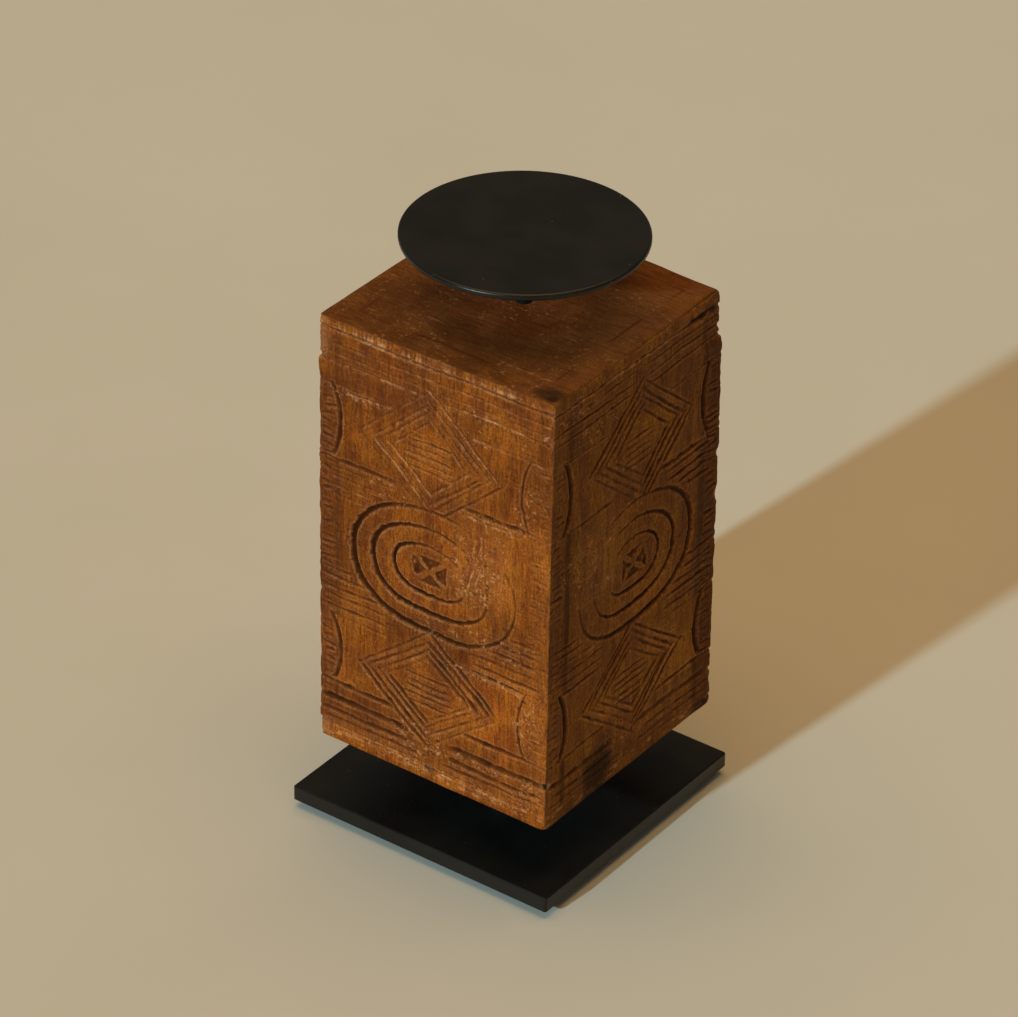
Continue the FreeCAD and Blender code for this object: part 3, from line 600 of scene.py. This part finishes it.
def box_blur(values, cells):
    """Running mean over 2 * cells + 1 cells, down the walls and round them."""
    width = 2 * cells + 1
    sums = np.cumsum(np.pad(values, [(cells + 1, cells), (0, 0)], mode="edge"), axis=0)
    values = (sums[width:] - sums[:-width]) / width
    sums = np.cumsum(np.pad(values, [(0, 0), (cells + 1, cells)], mode="wrap"), axis=1)
    return (sums[:, width:] - sums[:, :-width]) / width


# nicks in each upright edge, counted from the left edge of the first face:
# distance down, half height, depth, all in mm
EDGE_NICKS = {
    0: [(18.4, 1.4, 2.2), (62.5, 1.2, 0.5), (70, 1, 0.4), (131, 1.4, 0.4), (181.5, 1.5, 0.6),
        (195.3, 0.9, 0.5)],
    1: [(4.9, 1.1, 1.2), (138.5, 1, 0.7), (182.4, 1.9, 3.4), (16.5, 1.2, 0.5)],
    2: [(7.7, 1.2, 1.2), (17.3, 1.5, 1.5), (21.4, 1.4, 1.7), (30, 1.1, 0.5), (62, 1.6, 0.6),
        (78, 2.6, 0.9), (98, 4, 1.2), (120, 1.4, 0.6), (141, 1.3, 0.8), (176, 1.2, 0.8), (186, 1.6, 1.3),
        (199, 1.4, 0.8)],
    3: [(5, 1.1, 0.9), (18.8, 1.4, 1.4), (63, 1.2, 0.6), (108, 3, 0.8), (140.5, 1.2, 0.7), (182, 1.5, 1.2),
        (196, 1, 0.6)],
}


# stretches where an upright edge stands back: from and to (down), depth
SET_BACK = {
    0: [(-1, 17.8, 0.75), (195.4, 206, 1.1)],
    3: [(-1, 18.5, 0.6)],
}


def edge_wear(walls):
    """How far the upright edges are worn in: a little everywhere, more at the nicks."""
    down = np.linspace(0, BLOCK_TALL, DOWN + 1)[:, None]
    column = np.arange(FACES * ACROSS)[None, :] * BLOCK_WIDE / ACROSS
    total = np.zeros(walls.shape[:2])
    flat = walls.reshape(-1, 3)
    ragged = layered_noise(flat, (30, 30, 6), 301).reshape(total.shape)
    around = FACES * BLOCK_WIDE
    for edge in range(FACES):
        off = np.abs((column - edge * BLOCK_WIDE + around / 2) % around - around / 2)
        total += np.clip(0.05 + 0.2 * ragged, 0, None) * np.exp(-(off / 1.2) ** 2)
        for first, last, depth in SET_BACK.get(edge, ()):
            total += 0.7 * depth * between(down, first, last, 0.5) * np.exp(-(off / 5) ** 4)
        for middle, half_height, depth in EDGE_NICKS[edge]:
            nick = np.clip(1.3 * (1 - np.abs(down - middle) / half_height), 0, 1)
            total += 0.55 * depth * nick * np.exp(-(off / 2.6) ** 2)
    return total


def wall_relief(walls):
    """Heights and masks of the four walls, joined into one wrapped sheet."""
    heights = np.zeros(walls.shape[:2])
    masks = {}
    weight = np.ones(ACROSS + 1)
    weight[[0, -1]] = 0.5
    for face in range(FACES):
        columns = np.arange(face * ACROSS, (face + 1) * ACROSS + 1) % (FACES * ACROSS)
        own_heights, own_masks = face_relief(face, walls[:, columns])
        heights[:, columns] += own_heights * weight
        for name, values in own_masks.items():
            sheet = masks.setdefault(name, np.zeros(walls.shape[:2]))
            sheet[:, columns] += values * weight
    return heights, masks


def tool_marks(flat):
    """Unevenness of cut wood: broad waves, shallow facets, upright grain, small pits."""
    waves = 0.22 * lattice_noise(flat, 17, 405)
    facets = 0.13 * lattice_noise(flat, (4.5, 4.5, 3.2), 401) + 0.08 * lattice_noise(flat, 2.1, 406)
    grain = 0.07 * lattice_noise(flat, (0.9, 0.9, 14), 402)
    chatter = 0.045 * lattice_noise(flat, (5, 5, 1.3), 403)
    pits = -0.2 * smooth_step(0.5, 0.75, lattice_noise(flat, (1.1, 1.1, 2.4), 404))
    return waves + facets + grain + chatter + pits - 0.05


def rim_wear(flat):
    """How far the top and bottom rims are rounded over, most above the +X face."""
    x, y, z = (flat / (HALF, HALF, 1)).T
    side = np.minimum(HALF - np.abs(flat[:, 0]), HALF - np.abs(flat[:, 1]))
    off = np.maximum(side, np.minimum(z, BLOCK_TALL - z))
    above_x = smooth_step(0.3, 0.95, x) * smooth_step(-1, -0.75, y) * (z > BLOCK_TALL / 2)
    amount = 0.3 + 0.9 * above_x + 0.4 * smooth_step(0.3, 0.95, y)
    return amount * (1 + 0.4 * lattice_noise(flat, 9, 451)) * np.clip(1 - off / 3.5, 0, 1) ** 2


def cap_relief(cap, seed):
    """The planed ends: nearly flat, a little dished, with fine marks."""
    flat = cap.reshape(-1, 3)
    rim = np.minimum(HALF - np.abs(flat[:, 0]), HALF - np.abs(flat[:, 1]))
    inside = smooth_step(0, 5, rim)
    waves = 0.16 * lattice_noise(flat, 34, seed) + 0.06 * lattice_noise(flat, (1.6, 9, 9), seed + 1)
    pits = -0.14 * smooth_step(0.5, 0.75, lattice_noise(flat, 1.3, seed + 2))
    return ((waves + pits - 0.2) * inside - rim_wear(flat)).reshape(cap.shape[:2])


def cap_marks(cap, seed):
    """Colour masks of an end: fine specks and scratches, a faint frame, and a painted pool of light that
    makes the middle brighter and warmer, against the disc's shade.
    """
    flat = cap.reshape(-1, 3)
    x, y = flat[:, 0], flat[:, 1]

    def patches(low, high, cell, number):
        return smooth_step(low, high, lattice_noise(flat, cell, seed + number))

    rim = np.minimum(HALF - np.abs(x), HALF - np.abs(y)) + 0.8 * lattice_noise(flat, 9, seed)
    specks = patches(0.38, 0.72, (1, 0.9, 1), 1) * patches(-0.5, 0.5, 14, 2)
    specks = specks * (0.35 + 0.65 * smooth_step(38, 16, np.hypot(x - 1, y + 24)))
    scratches = patches(0.5, 0.85, (7, 0.7, 1), 3) * patches(0, 0.6, 11, 4)
    long_scratch = between(x, 22, 46, 2) * np.exp(-((y + 43.5) / 0.45) ** 2)
    long_scratch = long_scratch * patches(-0.5, 0.5, 2, 7)
    frame_line = 0.4 * np.exp(-((rim - 11.5) / 0.9) ** 2) * patches(0, 0.5, 12, 5)
    shape = cap.shape[:2]
    return {
        "pale": np.maximum(np.maximum(0.9 * specks, 0.5 * scratches), 0.6 * long_scratch).reshape(shape),
        "hollow_dirt_and_shade": frame_line.reshape(shape),
        "tone": np.full(shape, 0.5),
        # painted light: lifts the middle of the end, where the disc shades it
        "middle": smooth_step(62, 12, np.hypot(x, y)).reshape(shape),
        "worn": (smooth_step(30, 50, x) * patches(-0.3, 0.5, 13, 6)).reshape(shape),
    }


def settle(points):
    """The whole block's irregularity: an uneven back corner, a slight waver, blunt corners."""
    x, y, z = points[:, 0], points[:, 1], points[:, 2]
    high = z / BLOCK_TALL
    back_corner = np.clip((x / HALF + 1) / 2, 0, 1) * np.clip((y / HALF + 1) / 2, 0, 1)
    left_corner = np.clip((1 - x / HALF) / 2, 0, 1) * np.clip((1 - y / HALF) / 2, 0, 1)
    below_lip = smooth_step(18, 28, BLOCK_TALL - z)
    draw = back_corner ** 4 * (0.7 * high - 1.35 * below_lip) + 0.1 * left_corner ** 2
    scale = 1 - (draw + 0.05 + 0.08 * lattice_noise(points, 60, 501)) / HALF
    ends = np.minimum(z, BLOCK_TALL - z)
    reach = np.clip((np.abs(x) + np.abs(y) - 2 * HALF + 4) / 4, 0, 1) ** 2
    front = (x > 0) & (y < 0) & (high < 0.5)
    scale = scale - np.where(front, 1.5, 0.5) * np.exp(-(ends / 1.8) ** 2) * reach / HALF
    result = points.copy()
    result[:, 0] = x * scale
    result[:, 1] = y * scale
    return result


def stains(flat):
    """Dark marks: burnt patches, a knot by the top's front corner, an ink-dark lower corner."""
    front = -HALF
    spots = [
        # centre x, y, z, size along x, y, z, strength
        (HALF, front + 37, 9.5, 4, 9.5, 13, 0.8),
        (HALF - 7, front + 6.5, BLOCK_TALL, 7, 4.5, 3, 0.7),
        (HALF - 4.5, front + 4.5, BLOCK_TALL, 3.5, 3, 3, 0.85),
        (HALF, HALF - 7, 3, 3, 7, 3.2, 0.75),
        (HALF, HALF - 12, BLOCK_TALL - 6.5, 3, 12, 1.5, 0.8),
        (HALF, front, BLOCK_TALL - 182.4, 2.2, 2.2, 1.5, 0.9),
        (-0.5, front, 6.5, 3.6, 3, 1.3, 0.7),
        (-HALF, 12, 34, 4, 8, 9, 0.5),
    ]
    total = np.zeros(len(flat))
    ragged = layered_noise(flat, 5, 601)
    for x, y, z, wide, deep, tall, strength in spots:
        off = ((flat[:, 0] - x) / wide) ** 2 + ((flat[:, 1] - y) / deep) ** 2
        off = off + ((flat[:, 2] - z) / tall) ** 2
        total = np.maximum(total, strength * smooth_step(1.8, 0.1, off + 0.3 * ragged))
    return total


def wall_quads():
    """Corner numbers of the cells of the wrapped sheet of walls."""
    columns = FACES * ACROSS
    row, column = np.meshgrid(np.arange(DOWN), np.arange(columns), indexing="ij")
    following = (column + 1) % columns
    corners = [row * columns + column, (row + 1) * columns + column,
               (row + 1) * columns + following, row * columns + following]
    return np.stack(corners, -1).reshape(-1, 4)


def cap_grid(rim, first):
    """Point numbers of a cap: the rim's row of the walls round the cap's own points."""
    grid = np.empty((ACROSS + 1, ACROSS + 1), int)
    own = np.arange((ACROSS - 1) ** 2).reshape(ACROSS - 1, ACROSS - 1)
    grid[1:-1, 1:-1] = first + own
    side = np.arange(ACROSS)
    grid[side, 0] = rim + side
    grid[-1, side] = rim + ACROSS + side
    grid[ACROSS - side, -1] = rim + 2 * ACROSS + side
    grid[0, ACROSS - side] = rim + 3 * ACROSS + side
    return grid


def cap_quads(grid, upward):
    quads = np.stack([grid[:-1, :-1], grid[1:, :-1], grid[1:, 1:], grid[:-1, 1:]], -1)
    quads = quads.reshape(-1, 4)
    return quads if upward else quads[:, ::-1]


def atlas(wall_cells, cap_cells):
    """Unwrapping on one square: two faces, two faces, and the caps beside them."""
    gap = 2
    tall = 2 * BLOCK_TALL + 3 * gap
    cell_w, cell_h = BLOCK_WIDE / ACROSS, BLOCK_TALL / DOWN
    row, column = np.divmod(np.arange(wall_cells), FACES * ACROSS)
    face, across = np.divmod(column, ACROSS)
    left = gap + (face % 2) * (BLOCK_WIDE + gap) + across * cell_w
    top = tall - gap - (face // 2) * (BLOCK_TALL + gap) - row * cell_h
    walls = np.stack([
        np.stack([left, top], -1), np.stack([left, top - cell_h], -1),
        np.stack([left + cell_w, top - cell_h], -1), np.stack([left + cell_w, top], -1),
    ], 1)
    sheets = [walls]
    for number in range(2):
        i, j = np.divmod(np.arange(cap_cells), ACROSS)
        x = 3 * gap + 2 * BLOCK_WIDE + i * cell_w
        y = gap + number * (BLOCK_WIDE + gap) + j * cell_w
        corners = [np.stack([x, y], -1), np.stack([x + cell_w, y], -1),
                   np.stack([x + cell_w, y + cell_w], -1), np.stack([x, y + cell_w], -1)]
        if number:
            corners = corners[::-1]
        sheets.append(np.stack(corners, 1))
    return np.concatenate(sheets) / tall


def mesh_from(name, points, quads):
    mesh = bpy.data.meshes.new(name)
    mesh.vertices.add(len(points))
    mesh.vertices.foreach_set("co", points.astype(np.float32).ravel())
    mesh.loops.add(quads.size)
    mesh.loops.foreach_set("vertex_index", quads.astype(np.int32).ravel())
    mesh.polygons.add(len(quads))
    mesh.polygons.foreach_set("loop_start", np.arange(0, quads.size, 4, dtype=np.int32))
    mesh.polygons.foreach_set("use_smooth", np.ones(len(quads), bool))
    mesh.update(calc_edges=True)
    return mesh


def add_mask(mesh, name, values):
    attribute = mesh.attributes.new(name, "FLOAT", "POINT")
    attribute.data.foreach_set("value", values.astype(np.float32))


# how many cells away the surroundings of a point reach, for fine and for broad relief
FINE_CELLS = 3
BROAD_CELLS = 12
CAP_RELIEF_SEEDS = (700, 710)
CAP_MARK_SEEDS = (800, 810)


def build_block():
    """The carved block as one closed mesh, with its colour masks, in place of the CAD solid."""
    walls, caps = box_points()
    heights, masks = wall_relief(walls)
    fade = smooth_step(0, 1.5, np.linspace(0, BLOCK_TALL, DOWN + 1))
    fade = np.minimum(fade, fade[::-1])[:, None]
    wear = edge_wear(walls)
    flat_walls = walls.reshape(-1, 3)
    marks = tool_marks(flat_walls).reshape(heights.shape)
    heights = (heights + marks) * fade - wear - rim_wear(flat_walls).reshape(heights.shape)
    flat = np.concatenate([flat_walls] + [cap.reshape(-1, 3) for cap in caps])
    lifts = [cap_relief(cap, seed).ravel() for cap, seed in zip(caps, CAP_RELIEF_SEEDS)]
    height = np.concatenate([heights.ravel()] + lifts)

    core, out = rounded(flat, EDGE_RADIUS)
    _, direction = rounded(flat, TURN_ZONE)
    points = settle(core + EDGE_RADIUS * out + height[:, None] * direction)

    relief = heights - box_blur(heights, FINE_CELLS)
    broad = heights - box_blur(heights, BROAD_CELLS)
    # darkening in cuts and broad hollows: dirt and painted shade
    masks["hollow_dirt_and_shade"] = np.clip(np.maximum(masks.pop("cut_dirt_and_shade"), -broad / 1.1), 0, 1)
    rim = np.maximum(0.35 * np.clip(relief / 0.35, 0, 1), np.clip(0.6 * wear, 0, 0.3))
    masks["pale"] = np.maximum(masks["pale"], rim)
    cap_masks = [cap_marks(cap, seed) for cap, seed in zip(caps, CAP_MARK_SEEDS)]

    wall_cells = wall_quads()
    first = len(flat_walls)
    top = cap_grid(0, first)
    bottom = cap_grid(DOWN * FACES * ACROSS, first + (ACROSS - 1) ** 2)
    quads = np.concatenate([wall_cells, cap_quads(top, True), cap_quads(bottom, False)])

    place = np.array(BLOCK_LOW + BLOCK_HIGH) / 2
    place[2] = BLOCK_LOW.z
    place[:2] += np.array(BLOCK_SHIFT) * MM
    mesh = mesh_from("carved_block_wood", points * MM + place, quads)
    masks["middle"] = np.zeros(heights.shape)
    for name, values in masks.items():
        own = [marks.get(name, np.zeros(caps[0].shape[:2])).ravel() for marks in cap_masks]
        add_mask(mesh, name, np.concatenate([values.ravel()] + own))
    add_mask(mesh, "stain", stains(flat))
    end_face = np.zeros(len(flat))
    end_face[first:] = 1
    end_face[:2 * FACES * ACROSS] = np.repeat([0.8, 0.4], FACES * ACROSS)
    add_mask(mesh, "end_face", end_face)
    layer = mesh.uv_layers.new(name="OFBake")
    layer.data.foreach_set("uv", atlas(len(wall_cells), ACROSS ** 2).astype(np.float32).ravel())

    block = bpy.data.objects.new("carved_block_wood", mesh)
    bpy.context.scene.collection.objects.link(block)
    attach(block, "root")
    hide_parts("carved_block")
    mesh.materials.append(wood_material())


# ---- materials

class Shader:
    """A material's node tree, with short calls for the nodes used here."""

    def __init__(self, name):
        self.material = bpy.data.materials.new(name)
        self.material.use_nodes = True
        self.tree = self.material.node_tree
        self.tree.nodes.clear()
        self.surface = self.node("ShaderNodeBsdfPrincipled")
        output = self.node("ShaderNodeOutputMaterial")
        self.put(output.inputs["Surface"], self.surface.outputs["BSDF"])
        self.place = self.node("ShaderNodeTexCoord").outputs["Object"]

    def node(self, kind, inputs=(), **settings):
        """A node with its settings; inputs holds numbers, colours or other nodes' outputs."""
        node = self.tree.nodes.new(kind)
        for key, value in settings.items():
            setattr(node, key, value)
        for key, value in dict(inputs).items():
            self.put(node.inputs[key], value)
        return node

    def put(self, target, value):
        """Sets an input to a number or colour, or links it to another node's output."""
        if isinstance(value, bpy.types.NodeSocket):
            self.tree.links.new(value, target)
        else:
            target.default_value = value

    def mask(self, name):
        return self.node("ShaderNodeAttribute", attribute_name=name).outputs["Fac"]

    def noise(self, scale, stretch=(1, 1, 1), detail=3, roughness=0.55, distortion=0):
        mapping = self.node("ShaderNodeMapping", {"Vector": self.place, "Scale": stretch})
        noise = self.node("ShaderNodeTexNoise", {
            "Vector": mapping.outputs["Vector"], "Scale": scale, "Detail": detail,
            "Roughness": roughness, "Distortion": distortion,
        })
        return noise.outputs["Fac"]

    def spread(self, value, low, high, to_low=0, to_high=1):
        inputs = {"Value": value, "From Min": low, "From Max": high, "To Min": to_low, "To Max": to_high}
        node = self.node("ShaderNodeMapRange", inputs, interpolation_type="SMOOTHSTEP")
        return node.outputs["Result"]

    def times(self, first, second):
        return self.node("ShaderNodeMath", {0: first, 1: second}, operation="MULTIPLY").outputs[0]

    def mix(self, amount, first, second, blend="MIX"):
        inputs = {0: amount, 6: first, 7: second}
        return self.node("ShaderNodeMix", inputs, data_type="RGBA", blend_type=blend).outputs[2]

    def paint(self, colour, *layers):
        """Mixes layers over a colour, each an amount, a colour and, if need be, a blend."""
        for amount, *layer in layers:
            colour = self.mix(amount, colour, *layer)
        return colour

    def bump(self, height, distance, strength, below=None):
        inputs = {"Height": height, "Distance": distance, "Strength": strength}
        if below:
            inputs["Normal"] = below
        return self.node("ShaderNodeBump", inputs).outputs["Normal"]

    def finish(self, colour, roughness, normal=None, **settings):
        self.put(self.surface.inputs["Base Color"], colour)
        self.put(self.surface.inputs["Roughness"], roughness)
        if normal:
            self.put(self.surface.inputs["Normal"], normal)
        for key, value in settings.items():
            self.put(self.surface.inputs[key.replace("_", " ")], value)
        return self.material


def rgb(red, green, blue):
    return (red, green, blue, 1)


def wood_material():
    """Worn, oiled hardwood: golden and red-brown, with pale rubbed edges, cuts and hollows darkened by
    dirt and painted shade, a painted pool of light on the top's middle and a painted cooler cast on faces
    turned from the key light.
    """
    wood = Shader("carved_hardwood")
    fibre = wood.noise(1700, (1, 1, 0.1), detail=4, roughness=0.7)
    figure = wood.noise(300, (1, 1, 0.1), detail=4, distortion=0.4)
    blotch = wood.noise(55, (1, 1, 0.8), detail=5, roughness=0.6)
    speck = wood.noise(1500, (1, 1, 0.8), detail=3, roughness=0.75)
    rub = wood.noise(420, (0.2, 0.2, 2.4), detail=4, roughness=0.7)
    patch = wood.noise(95, (0.8, 0.8, 1.3), detail=3)
    hue = wood.noise(230, (1, 1, 0.4), detail=4, roughness=0.6)
    fine_hue = wood.noise(900, (1, 1, 0.5), detail=3, roughness=0.6)

    rubbed = wood.times(wood.spread(rub, 0.54, 0.70), wood.spread(patch, 0.45, 0.62))
    side = wood.paint(
        wood.mix(wood.spread(blotch, 0.38, 0.62), rgb(0.16, 0.0255, 0.0026), rgb(0.3, 0.063, 0.0045)),
        (wood.spread(figure, 0.42, 0.66, 0, 0.55), rgb(0.41, 0.09, 0.005)),
        (wood.spread(fibre, 0.36, 0.54, 0.75, 0), rgb(0.08, 0.0135, 0.0026)),
        (wood.spread(speck, 0.32, 0.50, 0.7, 0), rgb(0.07, 0.0125, 0.003)),
        (wood.spread(speck, 0.55, 0.70, 0, 0.5), rgb(0.6, 0.158, 0.022)),
        (wood.times(rubbed, 0.5), rgb(0.6, 0.175, 0.028)),
        (wood.times(wood.mask("worn"), 0.25), rgb(0.46, 0.115, 0.022)),
    )
    strand = wood.noise(700, (0.12, 1, 1), detail=4, roughness=0.7)
    end = wood.paint(
        wood.mix(wood.spread(blotch, 0.35, 0.65), rgb(0.112, 0.0315, 0.0062), rgb(0.178, 0.055, 0.0112)),
        # painted light: the middle of the top made brighter and warmer, against the disc's shade
        (wood.mask("middle"), rgb(1.92, 1.16, 1), "MULTIPLY"),
        (wood.times(wood.mask("worn"), 0.3), rgb(0.23, 0.064, 0.022)),
        (wood.spread(strand, 0.35, 0.60, 0.45, 0), rgb(0.05, 0.012, 0.0024)),
        (wood.spread(speck, 0.54, 0.70, 0, 0.5), rgb(0.32, 0.12, 0.034)),
    )
    tone = wood.mix(wood.mask("tone"), rgb(0.5, 0.46, 0.55), rgb(1.52, 1.6, 1.4))
    tint = wood.mix(wood.spread(hue, 0.38, 0.62), rgb(0.99, 1.01, 0.97), rgb(1.03, 0.96, 0.98))
    fine_tint = wood.mix(wood.spread(fine_hue, 0.35, 0.65), rgb(0.99, 1.01, 0.98), rgb(1.02, 0.98, 1.04))
    grime = wood.times(wood.mask("grime"), wood.spread(patch, 0.25, 0.7, 0.5, 0.9))
    hollow_dirt_and_shade = wood.mask("hollow_dirt_and_shade")
    bare = wood.times(wood.mask("pale"), wood.spread(speck, 0.36, 0.56, 0.3, 1))
    colour = wood.paint(
        wood.mix(wood.mask("end_face"), side, end),
        (1, tone, "MULTIPLY"),
        (grime, rgb(0.11, 0.02, 0.0052)),
        (1, tint, "MULTIPLY"),
        (1, fine_tint, "MULTIPLY"),
        # dirt and painted shade: the cuts and hollows painted darker
        (wood.spread(hollow_dirt_and_shade, 0.05, 0.45, 0, 0.8), rgb(0.085, 0.0165, 0.0034)),
        (wood.spread(hollow_dirt_and_shade, 0.4, 0.95, 0, 0.95), rgb(0.046, 0.0088, 0.0016)),
        # painted shade: faces turned from the key light shifted to a cooler, less red cast
        (wood.mask("shaded_face_cast"), rgb(0.87, 1.42, 2.1), "MULTIPLY"),
        (wood.times(bare, 0.85), rgb(0.8, 0.295, 0.102)),
        (wood.mask("stain"), rgb(0.0075, 0.005, 0.0042)),
    )

    roughness = wood.spread(blotch, 0.3, 0.7, 0.6, 0.75)
    fine = wood.bump(fibre, 0.0003, 0.6)
    normal = wood.bump(speck, 0.00025, 0.5, fine)
    return wood.finish(colour, roughness, normal,
                       Specular_IOR_Level=0.12, Specular_Tint=rgb(1, 0.60, 0.22))


def black_metal_material():
    """Satin black powder coat, with a fine orange-peel skin and a few specks of dust."""
    metal = Shader("black_powder_coat")
    peel = metal.noise(2600, detail=2)
    cloud = metal.noise(38, detail=4)
    dust = metal.noise(520, detail=1)
    colour = metal.paint(
        rgb(0.0055, 0.0051, 0.0045),
        (metal.spread(cloud, 0.3, 0.7), rgb(0.0085, 0.0078, 0.0066)),
        (metal.spread(dust, 0.77, 0.83, 0, 0.3), rgb(0.22, 0.20, 0.17)),
    )
    roughness = metal.spread(cloud, 0.3, 0.7, 0.27, 0.36)
    return metal.finish(colour, roughness, metal.bump(peel, 0.00006, 0.35),
                        Specular_IOR_Level=0.36, Specular_Tint=rgb(0.95, 0.75, 0.55))


def bare_steel_material():
    """Zinc-plated steel with fine turning marks and dull spots."""
    steel = Shader("zinc_plated_steel")
    marks = steel.noise(1400, (1, 1, 4), detail=3)
    cloud = steel.noise(90, detail=3)
    colour = steel.mix(steel.spread(cloud, 0.3, 0.7), rgb(0.42, 0.42, 0.43), rgb(0.58, 0.57, 0.55))
    roughness = steel.spread(marks, 0.3, 0.7, 0.28, 0.45)
    return steel.finish(colour, roughness, steel.bump(marks, 0.00004, 0.4), Metallic=1)


def rubber_material():
    """Matte rubber with a dusty bloom."""
    rubber = Shader("foot_rubber")
    grit = rubber.noise(1800, detail=3)
    bloom = rubber.noise(160, detail=3)
    dusty = rgb(0.040, 0.038, 0.036)
    colour = rubber.mix(rubber.spread(bloom, 0.35, 0.75), rgb(0.018, 0.018, 0.018), dusty)
    roughness = rubber.spread(grit, 0.3, 0.7, 0.75, 0.92)
    return rubber.finish(colour, roughness, rubber.bump(grit, 0.00008, 0.4))


def floor_material():
    floor = Shader("pale_floor")
    cloud = floor.noise(5, detail=5)
    colour = floor.mix(floor.spread(cloud, 0.3, 0.7), rgb(0.585, 0.49, 0.370), rgb(0.615, 0.51, 0.39))
    return floor.finish(colour, 0.85)


def finish_cad_nodes():
    """The CAD nodes keep their shape and get their material from their slot."""
    makers = {
        "black_metal": black_metal_material,
        "bare_steel": bare_steel_material,
        "foot_rubber": rubber_material,
    }
    made = {slot: maker() for slot, maker in makers.items()}
    for part in frame["record"]["subparts"]:
        material = made.get(part["material_slot"])
        if material is None:
            continue
        node = frame["nodes"][part["node"]]
        for slot in node.material_slots:
            slot.material = material


# ---- floor, light, camera

def build_floor():
    ground = (0, 0, cad_low.z)
    bpy.ops.mesh.primitive_circle_add(vertices=128, radius=6, fill_type="NGON", location=ground)
    floor = bpy.context.object
    floor.name = "floor"
    floor.data.materials.append(floor_material())


KEY_TRAVEL = Vector((0.094, 0.935, -0.342))
KEY_COLOUR = (0.49, 0.80, 1)
KEY_POWER = 3.6
KEY_SOFTNESS = math.radians(2)
# name, place, size, power, colour
SOFT_LIGHTS = (
    ("overhead", (-0.2, 0.2, 3.2), 3.6, 64, (1, 0.71, 0.34)),
    ("side", (2, -0.5, 1.5), 1.4, 2.2, (0.45, 0.85, 1)),
)
LIGHT_AIM = Vector((0, 0, 0.1))
WORLD_COLOUR = (1, 0.95, 0.8, 1)
WORLD_STRENGTH = 0.12


def add_light(kind, name, travel, power, colour):
    light = bpy.data.lights.new(name, kind)
    light.energy = power
    light.color = colour
    holder = bpy.data.objects.new(name, light)
    holder.rotation_euler = travel.to_track_quat("-Z", "Y").to_euler()
    bpy.context.scene.collection.objects.link(holder)
    return holder


def build_lights():
    """A low key light from the -Y side, and warm soft light from overhead."""
    key = add_light("SUN", "key", KEY_TRAVEL, KEY_POWER, KEY_COLOUR)
    key.data.angle = KEY_SOFTNESS
    for name, place, size, power, colour in SOFT_LIGHTS:
        soft = add_light("AREA", name, LIGHT_AIM - Vector(place), power, colour)
        soft.location = place
        soft.data.shape = "DISK"
        soft.data.size = size

    world = bpy.data.worlds.new("surroundings")
    bpy.context.scene.world = world
    world.use_nodes = True
    back = world.node_tree.nodes["Background"]
    back.inputs["Color"].default_value = WORLD_COLOUR
    back.inputs["Strength"].default_value = WORLD_STRENGTH


CAMERA_AZIMUTH = math.radians(35.51)
CAMERA_HEIGHT = math.radians(33.06)
CAMERA_DISTANCE = 2.145
CAMERA_ROLL = math.radians(1.09)
CAMERA_CENTRE = Vector((0, 0, 0.1223))
CAMERA_AIM = Vector((-0.0077, 0.0057, 0.1363))
CAMERA_VIEW_WIDTH = math.radians(11.22)


def build_camera():
    data = bpy.data.cameras.new("camera")
    data.angle = CAMERA_VIEW_WIDTH
    data.clip_start = 0.05
    data.clip_end = 50
    camera = bpy.data.objects.new("camera", data)
    bpy.context.scene.collection.objects.link(camera)
    level = math.cos(CAMERA_HEIGHT)
    back = Vector((
        math.sin(CAMERA_AZIMUTH) * level,
        -math.cos(CAMERA_AZIMUTH) * level,
        math.sin(CAMERA_HEIGHT),
    ))
    eye = CAMERA_CENTRE + back * CAMERA_DISTANCE
    ahead = (CAMERA_AIM - eye).normalized()
    right = ahead.cross(Vector((0, 0, 1))).normalized()
    up = right.cross(ahead)
    turn_cos, turn_sin = math.cos(CAMERA_ROLL), math.sin(CAMERA_ROLL)
    camera_right = turn_cos * right + turn_sin * up
    camera_up = turn_cos * up - turn_sin * right
    matrix = Matrix((camera_right, camera_up, -ahead)).transposed().to_4x4()
    matrix.translation = eye
    camera.matrix_world = matrix
    bpy.context.scene.camera = camera


bpy.context.scene.view_settings.view_transform = "Standard"
build_block()
finish_cad_nodes()
build_floor()
build_lights()
build_camera()
